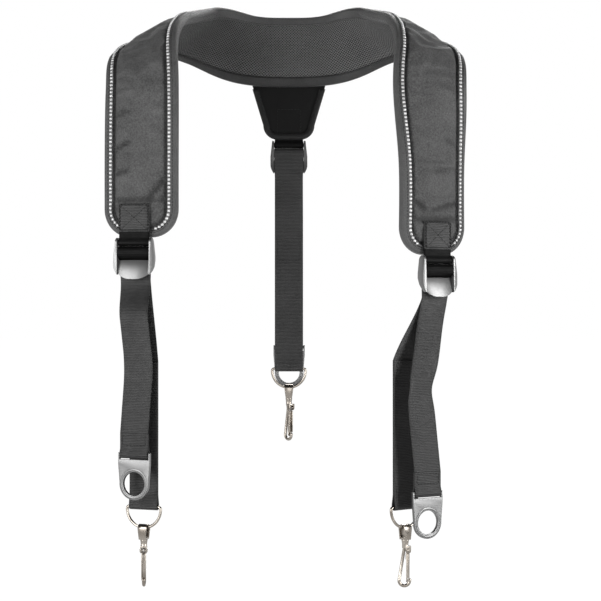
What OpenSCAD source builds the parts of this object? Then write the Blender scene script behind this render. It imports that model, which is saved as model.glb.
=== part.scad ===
// Padded three-point shoulder strap: a horseshoe yoke over the shoulders, and three webbing straps
// with ladder-lock adjusters, pull rings, D-rings and swivel snap hooks.
// The origin is the middle of the neck band's lining at the nape.
// +X is the wearer's left, +Y is backward and +Z is up. All sizes are millimetres.

/* [Padded yoke] */
// Distance from the middle to each front pad's centreline
front_half = 147; // [135:1:165]
// Depth from the nape to the back of the front pads
yoke_depth = 176; // [160:1:195]
// Height of the yoke's crest above the nape
crest_rise = 11; // [6:1:16]
// Fall of the yoke from its crest to where the front pads begin
shoulder_fall = 36; // [28:1:44]
// Width of the padded band
pad_width = 75.5; // [70:0.5:84]
// Thickness of the padded band away from its edges
pad_thick = 12; // [10:0.5:15]
// Thickness of the band where it is bound
edge_thick = 6; // [5:0.5:7]
// Width over which the padding falls away to the edge
edge_roll = 22; // [16:1:26]
// Corner radius of the pads' lower ends
end_round = 27; // [20:1:34]
// Drop of the right pad's end below the nape
right_drop = 215; // [195:1:245]
// Drop of the left pad's end below the nape
left_drop = 233; // [195:1:250]
// Angle that the right pad is turned out by
right_toe = 12; // [0:1:30]
// Angle that the left pad is turned out by
left_toe = 31; // [0:1:34]
// Thickness of the woven outer shell
shell_thick = 1.2; // [0.8:0.1:1.6]
// Thickness of the mesh lining
lining_thick = 2; // [1.5:0.1:2.4]
// Inset of the foam from the bound edge
foam_inset = 4; // [2:0.5:8]
// Gap between the foam and its covers
foam_gap = 0.7; // [0.6:0.05:1]
// Gap between sewn layers
layer_gap = 0.15; // [0.1:0.05:0.3]

/* [Binding and piping] */
// Thickness of the edge binding
binding_thick = 1; // [0.6:0.1:1.5]
// Gap between the edge binding and the covers that it holds
binding_gap = 0.5; // [0.4:0.05:0.7]
// Width of the binding on the shell side
binding_out = 4.5; // [3:0.5:6]
// Width of the binding on the lining side
binding_in = 9; // [6:0.5:12]
// Half the width of the reflective piping
piping_half = 1.9; // [1.2:0.1:2.5]
// Height of the reflective piping
piping_high = 2.4; // [1.5:0.1:3]

/* [Back tab] */
// Width of the tab where it is sewn to the neck band
tab_top = 92; // [80:1:100]
// Width of the tab where its round end begins
tab_low = 56; // [48:1:64]
// Reach of the tab below the neck band
tab_reach = 59; // [50:1:75]
// Overlap of the tab on the neck band's shell
tab_lap = 16; // [10:1:24]
// Corner radius of the tab's end
tab_round = 15; // [8:1:18]
// Thickness of the tab
tab_thick = 4; // [3:0.5:6]
// Width of the binding on the tab
tab_binding = 6; // [4:0.5:8]

/* [Webbing] */
// Width of the webbing
web_width = 32; // [28:1:36]
// Thickness of the webbing
web_thick = 1.5; // [1.2:0.1:2]
// Room left between webbing and the bar that it turns on
web_clear = 0.3; // [0.2:0.05:0.5]
// Gap between two runs of webbing that lie together
web_gap = 0.2; // [0.1:0.05:0.4]
// Length of the anchor patch sewn to the pad
anchor_patch = 29; // [20:1:36]
// Offset of the right anchor towards its pad's outer edge
right_anchor_out = 5; // [-6:1:10]
// Offset of the left anchor towards its pad's outer edge
left_anchor_out = 1; // [-6:1:10]
// Drop of the ladder-lock's top bar below the pad
bar_drop = 6.8; // [6.6:0.2:10]
// Length of webbing from the ladder-lock to both ends, load run and tail together
strap_sum = 486; // [460:1:520]
// Drop of the right D-ring's bar below its ladder-lock
right_hang = 270; // [240:1:300]
// Drop of the left D-ring's bar below its ladder-lock
left_hang = 250; // [240:1:300]
// Drop of the back D-ring's bar below its ladder-lock
back_hang = 255; // [240:1:300]
// Inward drift of the right load run
right_drift = 9; // [0:1:20]
// Inward drift of the left load run
left_drift = 37; // [0:1:40]
// Outward twist of the right load run
right_twist = 9; // [0:1:20]
// Outward twist of the left load run
left_twist = 8; // [0:1:20]
// Inward drift of the right tail
right_tail_drift = 5; // [0:1:12]
// Inward drift of the left tail
left_tail_drift = 23; // [0:1:30]
// Outward twist of the right tail
right_tail_twist = 10; // [0:1:15]
// Length of the fold that holds each D-ring
loop_length = 148; // [120:1:160]
// Length of the stitched top of that fold
loop_sewn = 25; // [15:1:35]
// Stand-off of each pull ring in front of its load run
pull_stand = 15; // [14:0.5:18]
// Length of the hem that holds each pull ring
hem_length = 22; // [16:1:30]

/* [Ladder-lock] */
// Room beside the webbing, between the side rails
lock_room = 1; // [0.1:0.1:4]
// Thickness of each side rail
rail_thick = 4; // [3.5:0.5:5]
// Radius of the rails' rounded tops
rail_round = 5; // [4.7:0.1:5.1]
// Radius of the top bar that the anchor webbing holds
top_bar_r = 2; // [1.6:0.1:2.4]
// Radius of the locking bar
lock_bar_r = 4.2; // [3.6:0.1:4.3]
// Room between the anchor's fold and the strap's turn on the locking bar
turn_room = 0.6; // [0.4:0.05:2.4]
// Forward offset of the locking bar
lock_fore = 0.4; // [0:0.1:0.8]
// Length of the release tongue
tongue_length = 20; // [20:1:26]
// Thickness of the release tongue
tongue_thick = 2.4; // [1.8:0.1:3]
// Outward tilt of the release tongue
tongue_tilt = 14; // [5:1:20]
// Corner radius of the release tongue
tongue_round = 17.5; // [8:0.5:18]

/* [Pull ring] */
// Width of the pull ring's shoulders beside the webbing slot
pull_wall = 1.5; // [1:0.1:5.5]
// Thickness of the pull ring's plate
pull_thick = 3.6; // [3:0.1:4.5]
// Radius of the finger hole
finger_r = 12; // [9:0.5:12]
// Outer radius of the ring
pull_round = 16.5; // [16:0.5:19]
// Drop of the finger hole's centre below the slot bar
finger_drop = 29; // [26:1:34]
// Radius of the slot bar
pull_bar_r = 1.7; // [1.4:0.1:2]
// Room below the webbing in the slot
slot_room = 2.8; // [0.4:0.1:4.2]

/* [D-ring and hook] */
// Radius of the D-ring's wire
ring_wire_r = 1.5; // [1.2:0.1:1.8]
// Straight bar left beside the webbing on the D-ring
ring_room = 0.5; // [0:0.1:3.5]
// Bend radius of the D-ring's upper corners
ring_corner = 2.5; // [2:0.1:3.5]
// Width of the hook's strap eye at its top
eye_width = 10; // [8:0.5:12]
// Width of the strap eye at its base
eye_foot = 7.2; // [6.5:0.1:8]
// Inner radius of the strap eye
eye_r = 3.5; // [3.3:0.1:4]
// Thickness of the strap eye
eye_thick = 1.3; // [1:0.1:1.6]
// Depth of the eye's base below the D-ring's wire
eye_depth = 10; // [9:0.5:12]
// Thickness of the eye's base
eye_base = 2; // [1.5:0.1:2.5]
// Radius of the swivel stem
stem_r = 2; // [1.6:0.1:2.2]
// Radius of the swivel stem's head
stem_head_r = 3; // [2.6:0.1:3.1]
// Radius of the hook's wire
hook_wire_r = 1.7; // [1.5:0.1:1.8]
// Radius of the hook's nose
nose_r = 5.3; // [5.2:0.1:6]
// Depth of the nose's centre below the D-ring's wire
nose_depth = 53.6; // [50:0.2:58]
// Lean of the hook's spine
spine_lean = 9.2; // [8.8:0.1:9.6]
// Depth of the gate's pivot below the D-ring's wire
pivot_depth = 23; // [22.5:0.1:24]
// Thickness of the gate
gate_thick = 1.4; // [1:0.1:1.6]
// Width of the gate
gate_width = 4.8; // [4.4:0.1:5.2]
// Radius of the gate's pivot pin
pin_r = 0.9; // [0.7:0.05:1]
// Radial clearance of the pivot and the swivel
run_clear = 0.05; // [0.02:0.01:0.1]
// Clearance between faces that slide past each other
face_clear = 0.2; // [0.15:0.05:0.3]
// Direction that the right hook's gate faces
right_hook_turn = -90; // [-180:5:180]
// Direction that the left hook's gate faces
left_hook_turn = 0; // [-180:5:180]
// Direction that the back hook's gate faces
back_hook_turn = -50; // [-180:5:180]

/* [Hidden] */
$fn = 48;
// How far a cutting shape runs past what it cuts, and how far a bar runs into what holds it
cut = 1;
sink = 0.5;
// Room beside webbing that runs in a slot or a notch
side_room = 0.5;
yoke_parts = ["outer_shell", "foam_core", "mesh_lining", "edge_binding", "reflective_piping",
  "back_tab", "back_tab_binding"];
strap_parts = ["anchor_webbing", "ladder_lock", "strap", "tail", "tail_hem", "pull_ring", "ring_loop",
  "d_ring", "hook_eye", "hook_body", "gate", "gate_pin", "gate_spring"];
sides = ["right", "left", "back"];

shell_grey = [0.2, 0.2, 0.21];
mesh_black = [0.1, 0.1, 0.1];
binding_black = [0.13, 0.13, 0.13];
foam_grey = [0.45, 0.45, 0.46];
silver = [0.82, 0.83, 0.84];
web_grey = [0.24, 0.24, 0.25];
plastic_grey = [0.3, 0.3, 0.31];
nickel = [0.78, 0.75, 0.7];
spring_steel = [0.6, 0.6, 0.6];

// The band's path, from the nape to a pad's end, as the middle of its lining. The neck part is
// shaped by the yoke's half width and depth, and the last two stations hang straight.
hang_top = crest_rise - 2.1 * shoulder_fall;
hang_share = 0.45;
function half_path(drop) = [
  [0, 0, 0],
  [0.31 * front_half, -0.04 * yoke_depth, 0.15 * crest_rise],
  [0.65 * front_half, -0.13 * yoke_depth, crest_rise],
  [0.81 * front_half, -0.33 * yoke_depth, 0.85 * crest_rise],
  [0.93 * front_half, -0.61 * yoke_depth, crest_rise - 0.36 * shoulder_fall],
  [front_half, -0.84 * yoke_depth, crest_rise - shoulder_fall],
  [front_half, -0.96 * yoke_depth, hang_top],
  [front_half, -yoke_depth, hang_top - hang_share * (drop + hang_top)],
  [front_half, -yoke_depth, -drop]];

// Direction across the band at each station, from its outer edge to its inner edge
function half_lay(toe) = [
  [0, 0, 1], [-0.05, -0.05, 1], [-0.5, -0.55, 0.67], [-0.75, -0.48, 0.45], [-0.85, -0.31, 0.42],
  [-0.92, -0.18, 0.33], [-0.96, -0.2, 0.2], [-cos(toe), -sin(toe), 0], [-cos(toe), -sin(toe), 0]];

half_steps = 8;
last = 2 * half_steps;
function flip(p) = [-p[0], p[1], p[2]];
function both(right_half, left_half) =
  concat([for (i = [half_steps : -1 : 1]) flip(right_half[i])], left_half);
yoke_path = both(half_path(right_drop), half_path(left_drop));
yoke_lay = both(half_lay(right_toe), half_lay(left_toe));
right_run = norm(yoke_path[1] - yoke_path[0]);
left_run = norm(yoke_path[last] - yoke_path[last - 1]);

function unit(v) = v / norm(v);
function smooth(f) = let (g = min(1, max(0, f))) g * g * (3 - 2 * g);
function turn_z(p, a) = [p[0] * cos(a) - p[1] * sin(a), p[0] * sin(a) + p[1] * cos(a), p[2]];

// A smooth curve through the stations of a list
function curve(list, u) =
  let (
    i = min(max(floor(u), 0), len(list) - 2),
    f = u - i,
    b = list[i],
    c = list[i + 1],
    a = i > 0 ? list[i - 1] : 2 * b - c,
    e = i + 2 < len(list) ? list[i + 2] : 2 * c - b
  ) b + 0.5 * f * (c - a + f * (2 * a - 5 * b + 4 * c - e + f * (3 * b - a - 3 * c + e)));

// A point of the yoke: u runs along the band, w across it and h away from the body
function yoke_point(u, w, h) =
  let (
    step = 0.02,
    along = unit(curve(yoke_path, u + step) - curve(yoke_path, u - step)),
    lay = curve(yoke_lay, u),
    across = unit(lay - (lay * along) * along),
    out = cross(across, along)
  ) curve(yoke_path, u) + w * across + h * out;

// The band's outline moved in by an inset, as pairs of u and half width from the right end to the left
end_turns = [90, 75, 60, 40, 20, 0];
end_lead = 0.65;
fine = 1 / 3;
function edge_line(inset) =
  let (
    r = end_round - inset,
    half = pad_width / 2 - inset,
    tips = [for (a = end_turns) [inset + r * (1 - sin(a)), half - r * (1 - cos(a))]],
    count = len(tips)
  ) concat(
    [for (p = tips) [p[0] / right_run, p[1]]],
    [for (u = [end_lead, each [1 : fine : last - 1 + fine / 2], last - end_lead]) [u, half]],
    [for (i = [count - 1 : -1 : 0]) [last - tips[i][0] / left_run, tips[i][1]]]);
edge_count = len(edge_line(0));

// Distance of a point of the band from its outline
function inset_of(u, w) =
  let (
    end = u < half_steps ? u * right_run : (last - u) * left_run,
    beside = max(0, abs(w) - pad_width / 2 + end_round),
    below = max(0, end_round - end)
  ) end_round - norm([beside, below]);

// The padding's two faces, which close in towards the bound edge
outer_share = 0.6;
function roll(inset) = pow(max(0, 1 - inset / edge_roll), 2);
function face_out(inset) = pad_thick - outer_share * (pad_thick - edge_thick) * roll(inset);
function face_in(inset) = (1 - outer_share) * (pad_thick - edge_thick) * roll(inset);

// A solid skinned over rings of an even number of points, either open with two caps or closed on itself
module skin(rings, closed = false) {
  n = len(rings);
  k = len(rings[0]);
  function at(i, j) = (i % n) * k + j % k;
  walls = [for (i = [0 : n - (closed ? 1 : 2)], j = [0 : k - 1])
    let (a = at(i, j), b = at(i, j + 1), c = at(i + 1, j + 1), d = at(i + 1, j))
    each j < k / 2 ? [[a, b, c], [a, c, d]] : [[a, b, d], [b, c, d]]];
  caps = [for (j = [0 : k / 2 - 2]) each [[k - 1 - j, k - 2 - j, j + 1, j],
    [at(n - 1, j), at(n - 1, j + 1), at(n - 1, k - 2 - j), at(n - 1, k - 1 - j)]]];
  polyhedron([for (r = rings) each r], closed ? walls : concat(walls, caps));
}

// A layer of the band between two heights, each a function of the inset
layer_spread = [-1, -0.8, -0.5, 0, 0.5, 0.8, 1];
module layer(inset, low, high) {
  m = len(layer_spread) - 1;
  skin([for (e = edge_line(inset)) concat(
    [for (i = [0 : m]) let (w = layer_spread[i] * e[1])
      yoke_point(e[0], w, low(inset_of(e[0], w)))],
    [for (i = [m : -1 : 0]) let (w = layer_spread[i] * e[1])
      yoke_point(e[0], w, high(inset_of(e[0], w)))])]);
}

module outer_shell() {
  color(shell_grey)
    layer(0, function(i) face_out(i) - shell_thick, function(i) face_out(i));
}

module foam_core() {
  color(foam_grey)
    layer(foam_inset, function(i) face_in(i) + lining_thick + foam_gap,
      function(i) face_out(i) - shell_thick - foam_gap);
}

module mesh_lining() {
  color(mesh_black)
    layer(0, function(i) face_in(i), function(i) face_in(i) + lining_thick);
}

// Grosgrain folded round the whole edge, with a narrow leg on the shell and a wide one on the lining
module edge_binding() {
  g = binding_gap;
  t = binding_thick;
  section = [
    [-g - t, face_out(0) - t], [-g - t, face_in(0) + t], [0, face_in(0) - g - t],
    [binding_in, face_in(binding_in) - g - t], [binding_in, face_in(binding_in) - g],
    [-g, face_in(0) - g], [-g, face_out(0) + g], [binding_out, face_out(binding_out) + g],
    [binding_out, face_out(binding_out) + g + t], [0, face_out(0) + g + t]];
  lines = [for (p = section) edge_line(p[0])];
  loop = concat([for (k = [0 : edge_count - 1]) [k, 1]], [for (k = [edge_count - 1 : -1 : 0]) [k, -1]]);
  color(binding_black)
    skin([for (q = loop) [for (j = [0 : len(section) - 1])
      let (e = lines[j][q[0]]) yoke_point(e[0], q[1] * e[1], section[j][1])]], closed = true);
}

// Two strips of piping, along the inner and the outer edge, that stop beside the anchor webbing
piping_skip = 2;
piping_sides = 6;
piping_mid = binding_out + layer_gap + piping_half;
module reflective_piping() {
  base = face_out(piping_mid) + layer_gap + piping_high / 2;
  section = [for (j = [0 : piping_sides - 1]) let (a = (j + 0.5) * 360 / piping_sides)
    [piping_mid - piping_half * cos(a), base + piping_high / 2 * sin(a)]];
  lines = [for (p = section) edge_line(p[0])];
  color(silver)
    for (side = [-1, 1])
      skin([for (k = [piping_skip : edge_count - 1 - piping_skip]) [for (j = [0 : piping_sides - 1])
        let (i = side > 0 ? j : piping_sides - 1 - j, e = lines[i][k])
        yoke_point(e[0], side * e[1], section[i][1])]]);
}

// The back tab hangs from the neck band's shell
tab_in = max(pad_thick + web_clear, face_out(piping_mid) + piping_high + 2 * layer_gap);
tab_out = tab_in + tab_thick;
tab_head = tab_lap - pad_width / 2;
tab_foot = -pad_width / 2 - tab_reach;

tab_step = 15;
module tab_outline(grow) {
  low = tab_foot + tab_round;
  r = tab_round + grow;
  side = tab_low / 2 - tab_round;
  right_side = concat([[tab_top / 2 + grow, tab_head]],
    [for (a = [0 : tab_step : 90]) [side + r * cos(a), low - r * sin(a)]]);
  left_side = [for (i = [len(right_side) - 1 : -1 : 0]) [-right_side[i][0], right_side[i][1]]];
  polygon(concat(right_side, left_side));
}

// Extrudes an outline drawn in X and Z from one Y to another
module stand(from, to) {
  translate([0, to, 0]) rotate([90, 0, 0]) linear_extrude(to - from) children();
}

module back_tab() {
  color(mesh_black) stand(tab_in, tab_out) tab_outline(0);
}

module back_tab_binding() {
  g = layer_gap;
  t = binding_thick;
  color(binding_black)
    difference() {
      stand(tab_in - g - t, tab_out + g + t) tab_outline(g + t);
      stand(tab_in - g, tab_out + g) tab_outline(g);
      stand(tab_in - 2 * t, tab_out + 2 * t) tab_outline(-tab_binding);
      stand(tab_in - 2 * t, tab_out + 2 * t)
        translate([-tab_top, -pad_width / 2 - t]) square([2 * tab_top, pad_width]);
      stand(tab_out + g / 2, tab_out + 2 * t)
        translate([-web_width / 2 - side_room, tab_foot - tab_round])
          square([web_width + 2 * side_room, 3 * tab_round]);
    }
}

// Each strap: name, ladder-lock place and turn, hang of the D-ring, drift and twist of the load run,
// drift and twist of the tail, and the turn of the hook
stack_half = web_thick + web_gap / 2;
bar_stand = web_clear + stack_half;
function front_bar(u, out) = yoke_point(u, -out, pad_thick + bar_stand) - [0, 0, bar_drop];
right = ["right", front_bar(0, right_anchor_out), 180 - right_toe, right_hang, -right_drift,
  -right_twist, -right_tail_drift, -right_tail_twist, right_hook_turn];
left = ["left", front_bar(last, left_anchor_out), 180 + left_toe, left_hang, left_drift,
  left_twist, left_tail_drift, 0, left_hook_turn];
back = ["back", [0, tab_out + bar_stand, tab_foot - bar_drop], 0, back_hang, 0, 0, 0, 0, back_hook_turn];
straps = [right, left, back];
function tail_length(s) = strap_sum - s[3];

// Widths that fit the webbing
lock_width = web_width + 2 * (lock_room + rail_thick);
pull_width = web_width + 2 * (side_room + pull_wall);
pull_slot = web_clear + web_thick + slot_room;
ring_bow = web_width / 2 + ring_room + ring_corner;

// Where the webbing runs inside a ladder-lock, with its top bar at the origin and y outward
turn_r = lock_bar_r + web_gap / 2 + web_thick / 2;
fold_r = top_bar_r + web_clear + web_thick;
lock_drop = fold_r + turn_room + turn_r + web_thick / 2;
load_y = lock_fore - turn_r;
tail_y = load_y + web_thick + web_gap;
turn_end = 60;
turn_step = 20;
turn_out = (lock_fore + turn_r * cos(turn_end) - tail_y) / sin(turn_end);
tail_z = -lock_drop - turn_r * sin(turn_end) - turn_out * cos(turn_end);
tail_start = 3;
tongue_lead = 0.5;
tongue_room = 1.2;
tongue_top = tongue_lead - tail_z;
tongue_fore = tail_y + web_thick / 2 + tongue_room;
lock_foot = tongue_top + tongue_length;

// The D-ring's bar and the pull ring's bar in the ladder-lock's own axes
loop_half = (web_thick + web_gap) / 2;
function ring_place(s) = [s[4], load_y + loop_half, -s[3]];
function pull_place(s) = [s[6], pull_stand, -tail_length(s)];

module at_lock(s) {
  translate(s[1]) rotate([0, 0, s[2]]) children();
}

module at_ring(s) {
  at_lock(s) translate(ring_place(s)) rotate([0, 0, s[5]]) children();
}

module at_pull(s) {
  at_lock(s) translate(pull_place(s)) rotate([0, 0, s[7]]) children();
}

wire_depth = ring_bow + ring_corner;
module at_eye(s) {
  at_ring(s) translate([0, 0, -wire_depth]) children();
}

module at_hook(s) {
  at_eye(s) rotate([0, 0, s[8] - s[2] - s[5]]) children();
}

// A side profile drawn in Y and Z, carried across X
module across(width) {
  translate([-width / 2, 0, 0]) rotate([90, 0, 90]) linear_extrude(width) children();
}

// A round bar along X
module bar(r, length) {
  rotate([0, 90, 0]) cylinder(r = r, h = length, center = true);
}

// Webbing that goes round a bar at the origin and comes together above it
module fold(bar_r, gap, height, blend) {
  inner = bar_r + web_clear;
  outer = inner + web_thick;
  across(web_width) {
    difference() {
      circle(r = outer);
      circle(r = inner);
      translate([-2 * outer, 0]) square([4 * outer, 2 * outer]);
    }
    for (m = [-1, 1]) {
      polygon([[m * inner, 0], [m * outer, 0], [m * (gap / 2 + web_thick), blend], [m * gap / 2, blend]]);
      polygon([[m * gap / 2, blend], [m * (gap / 2 + web_thick), blend],
        [m * (gap / 2 + web_thick), height], [m * gap / 2, height]]);
    }
  }
}

// A block of stitching that fills the gap between two runs
module stitched(gap, low, high) {
  across(web_width) translate([-gap / 2, low]) square([gap, high - low]);
}

// A flat ribbon of webbing along points, turned about Z by an angle at each point
module ribbon(points, turns) {
  n = len(points) - 1;
  skin([for (i = [0 : n])
    let (
      along = unit(points[min(i + 1, n)] - points[max(i - 1, 0)]),
      side = [cos(turns[i]), sin(turns[i]), 0] * web_width / 2,
      face = unit(cross(along, side)) * web_thick / 2
    ) [points[i] + side + face, points[i] - side + face, points[i] - side - face, points[i] + side - face]]);
}

anchor_blend = bar_drop - binding_thick - layer_gap - web_clear;
patch_inset = 4;
module anchor_webbing() {
  patch_foot = bar_drop + patch_inset;
  patch_top = patch_foot + anchor_patch;
  color(web_grey) {
    fold(top_bar_r, web_gap, patch_top, anchor_blend);
    stitched(web_gap, patch_foot + patch_inset, patch_top - patch_inset);
  }
}

// Side rails, two bars and a domed release tongue
tongue_dome = 150;
tongue_step_in = 0.5;
rail_rim = 0.8;
rail_flare = 2.2;
module ladder_lock() {
  inside = lock_width / 2 - rail_thick;
  color(plastic_grey) {
    rails();
    bar(top_bar_r, 2 * (inside + sink));
    translate([0, lock_fore, -lock_drop]) bar(lock_bar_r, 2 * (inside + sink));
    translate([0, tongue_fore, -tongue_top]) rotate([tongue_tilt, 0, 0]) tongue();
  }
}

// Two side plates that run down beside the tongue and follow its round end
module rails() {
  foot = -tongue_top - tongue_length;
  fore = tongue_fore + tongue_thick + tongue_length * sin(tongue_tilt);
  corner_x = lock_width / 2 - tongue_step_in - tongue_round;
  corner_z = tongue_round - tongue_top - tongue_length;
  head = [lock_width / 2 - rail_flare, rail_round + cut];
  side = [lock_width / 2 + rail_rim, corner_z];
  intersection() {
    for (x = [-1, 1])
      translate([x * (lock_width - rail_thick) / 2, 0, 0])
        across(rail_thick) {
          circle(r = rail_round);
          polygon([[-rail_round, 0], [rail_round, 0], [fore, foot], [fore - tongue_thick, foot],
            [-rail_round, -tongue_top]]);
        }
    stand(-3 * rail_round, 3 * rail_round) {
      polygon([[-head[0], head[1]], head, side, [-side[0], side[1]]]);
      for (x = [-1, 1]) translate([x * corner_x, corner_z]) circle(r = tongue_round + rail_rim);
    }
  }
}

module tongue() {
  half = lock_width / 2 - tongue_step_in;
  r = tongue_round;
  intersection() {
    stand(0, tongue_thick) {
      translate([-half, r - tongue_length]) square([2 * half, tongue_length - r + cut]);
      for (x = [r - half, half - r]) translate([x, r - tongue_length]) circle(r = r);
      translate([r - half, -tongue_length]) square([2 * (half - r), r]);
    }
    translate([0, tongue_thick - tongue_dome, -tongue_length - cut])
      cylinder(r = tongue_dome, h = tongue_length + cut, $fn = 360);
  }
}

// The load run, from the top of the D-ring's fold up round the locking bar to the tail
run_steps = 8;
module strap(s) {
  top = ring_place(s) + [0, 0, loop_length + web_clear] + turn_z([0, -loop_half, 0], s[5]);
  low = [0, load_y, -lock_foot];
  rise = [for (i = [0 : run_steps]) let (f = i / run_steps, g = smooth(f))
    [top[0] + (low[0] - top[0]) * g, top[1] + (low[1] - top[1]) * g, top[2] + (low[2] - top[2]) * f]];
  bend = [for (a = [180 : -turn_step : -turn_end])
    [0, lock_fore + turn_r * cos(a), -lock_drop + turn_r * sin(a)]];
  points = concat(rise, bend, [[0, tail_y, tail_z], [0, tail_y, tail_z - tail_start]]);
  turns = [for (i = [0 : len(points) - 1]) i <= run_steps ? s[5] * (1 - smooth(i / run_steps)) : 0];
  color(web_grey) ribbon(points, turns);
}

// The free tail, which stands off in front of the load run
tail_steps = 12;
tail_bow = 90;
module tail(s) {
  from = [0, tail_y, tail_z - tail_start];
  to = pull_place(s) + [0, 0, hem_length] + turn_z([0, loop_half, 0], s[7]);
  bow = function(z) smooth((-lock_foot - z) / tail_bow);
  points = [for (i = [0 : tail_steps]) let (z = from[2] + (to[2] - from[2]) * i / tail_steps, g = bow(z))
    [from[0] + (to[0] - from[0]) * g, from[1] + (to[1] - from[1]) * g, z]];
  color(web_grey) ribbon(points, [for (p = points) s[7] * bow(p[2])]);
}

hem_blend = 8;
stitch_inset = 2;
module tail_hem() {
  color(web_grey) {
    fold(pull_bar_r, web_gap, hem_length, hem_blend);
    stitched(web_gap, hem_blend + stitch_inset, hem_length - stitch_inset);
  }
}

loop_blend = 14;
module ring_loop() {
  color(web_grey) {
    fold(ring_wire_r, web_gap, loop_length, loop_blend);
    stitched(web_gap, loop_length - loop_sewn, loop_length - stitch_inset);
  }
}

// A plate with an open webbing slot, a bar across it and a beaded finger ring
pull_top = 2.4;
pull_shoulder = 9;
pull_bead = 2.2;
module pull_ring() {
  slot_half = web_width / 2 + side_room;
  color(plastic_grey) {
    difference() {
      stand(-pull_thick / 2, pull_thick / 2) {
        polygon([[-pull_width / 2, pull_top], [pull_width / 2, pull_top], [pull_width / 2, -pull_shoulder],
          [pull_round, -finger_drop], [-pull_round, -finger_drop], [-pull_width / 2, -pull_shoulder]]);
        translate([0, -finger_drop]) circle(r = pull_round);
      }
      translate([-slot_half, -pull_thick, -pull_slot - pull_bar_r])
        cube([2 * slot_half, 2 * pull_thick, pull_slot + pull_bar_r + pull_top + cut]);
      translate([0, pull_thick, -finger_drop]) rotate([90, 0, 0])
        cylinder(r = finger_r, h = 2 * pull_thick);
    }
    bar(pull_bar_r, 2 * (slot_half + sink));
    translate([0, 0, -finger_drop]) rotate([90, 0, 0])
      rotate_extrude() translate([(finger_r + pull_round) / 2, 0]) circle(r = pull_bead, $fn = 24);
  }
}

// A bent wire arc in X and Z
module wire_arc(bend_r, wire_r, from, sweep) {
  rotate([90, 0, 0]) rotate([0, 0, from])
    rotate_extrude(angle = sweep) translate([bend_r, 0]) circle(r = wire_r);
}

module d_ring() {
  half = ring_bow - ring_corner;
  color(nickel) {
    bar(ring_wire_r, 2 * half);
    translate([half, 0, -ring_corner]) wire_arc(ring_corner, ring_wire_r, 0, 90);
    translate([-half, 0, -ring_corner]) wire_arc(ring_corner, ring_wire_r, 90, 90);
    translate([0, 0, -ring_corner]) wire_arc(ring_bow, ring_wire_r, 180, 180);
  }
}

// A strap bent over the D-ring's wire, tapered to a drilled base that the hook turns in
eye_lift = 0.9;
module hook_eye() {
  outer = eye_r + eye_thick;
  mid = ring_wire_r + eye_lift - eye_r;
  foot = -eye_depth - eye_base;
  color(nickel)
    difference() {
      intersection() {
        across(2 * eye_width) {
          translate([0, mid]) circle(r = outer);
          translate([-outer, foot]) square([2 * outer, mid - foot]);
        }
        stand(-2 * outer, 2 * outer)
          polygon([[-eye_foot / 2, foot], [eye_foot / 2, foot], [eye_width / 2, mid],
            [eye_width / 2, mid + 2 * outer], [-eye_width / 2, mid + 2 * outer], [-eye_width / 2, mid]]);
      }
      across(3 * eye_width) {
        translate([0, mid]) circle(r = eye_r);
        translate([-eye_r, -eye_depth]) square([2 * eye_r, mid + eye_depth]);
      }
      translate([0, 0, foot - cut]) cylinder(r = stem_r + run_clear, h = eye_base + 2 * cut);
    }
}

// The hook: headed stem, collar, two ears, a leaning spine and a round nose
nose_x = -0.9;
pivot_x = 3;
collar_r = 3.9;
neck_r = 3.3;
lug_r = 2;
lug_thick = 0.9;
ear_gap = 2.3;
ear_thick = 1.2;
ear_r = 2.8;
head_high = 1.6;
head_bevel = 0.6;
collar_drop = 4;
ear_room = 0.6;
ear_root = 2;
nose_over = 5;
nose_ball_r = hook_wire_r + 0.2;
spine_root = 0.4;
spine_step = 0.05;
module hook_body() {
  top = -eye_depth - eye_base - face_clear;
  block = -pivot_depth + lug_r + ear_room;
  head = head_high - eye_depth;
  ear_wide = ear_gap + ear_thick;
  spine_foot = [nose_x - nose_r * cos(spine_lean), -nose_depth + nose_r * sin(spine_lean)];
  spine = (block + ear_root - spine_foot[1]) / cos(spine_lean);
  color(nickel)
    difference() {
      union() {
        rotate_extrude()
          polygon([[0, head], [stem_head_r - head_bevel, head], [stem_head_r, head - head_bevel],
            [stem_head_r, face_clear - eye_depth], [stem_r, face_clear - eye_depth], [stem_r, top],
            [collar_r, top], [neck_r, top - collar_drop], [neck_r, block], [0, block]]);
        for (m = [-1, 1]) {
          translate([pivot_x, m * (ear_gap + ear_thick / 2), -pivot_depth])
            rotate([90, 0, 0]) cylinder(r = ear_r, h = ear_thick, center = true);
          translate([0, m * (ear_gap + ear_thick / 2) - ear_thick / 2, -pivot_depth])
            cube([pivot_x + ear_r, ear_thick, pivot_depth + block + ear_root]);
        }
        translate([0, -ear_wide, block]) cube([pivot_x + ear_r, 2 * ear_wide, ear_root]);
        translate([spine_foot[0], 0, spine_foot[1]]) rotate([0, spine_lean, 0])
          translate([0, 0, -spine_root]) cylinder(r = hook_wire_r - spine_step, h = spine + spine_root);
        translate([nose_x, 0, -nose_depth])
          wire_arc(nose_r, hook_wire_r, 180 - spine_lean, 180 + spine_lean + nose_over);
        translate([nose_x + nose_r * cos(nose_over), 0, -nose_depth + nose_r * sin(nose_over)])
          sphere(r = nose_ball_r);
      }
      translate([pivot_x, 0, -pivot_depth]) rotate([90, 0, 0])
        cylinder(r = pin_r, h = 4 * ear_gap, center = true);
    }
}

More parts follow.
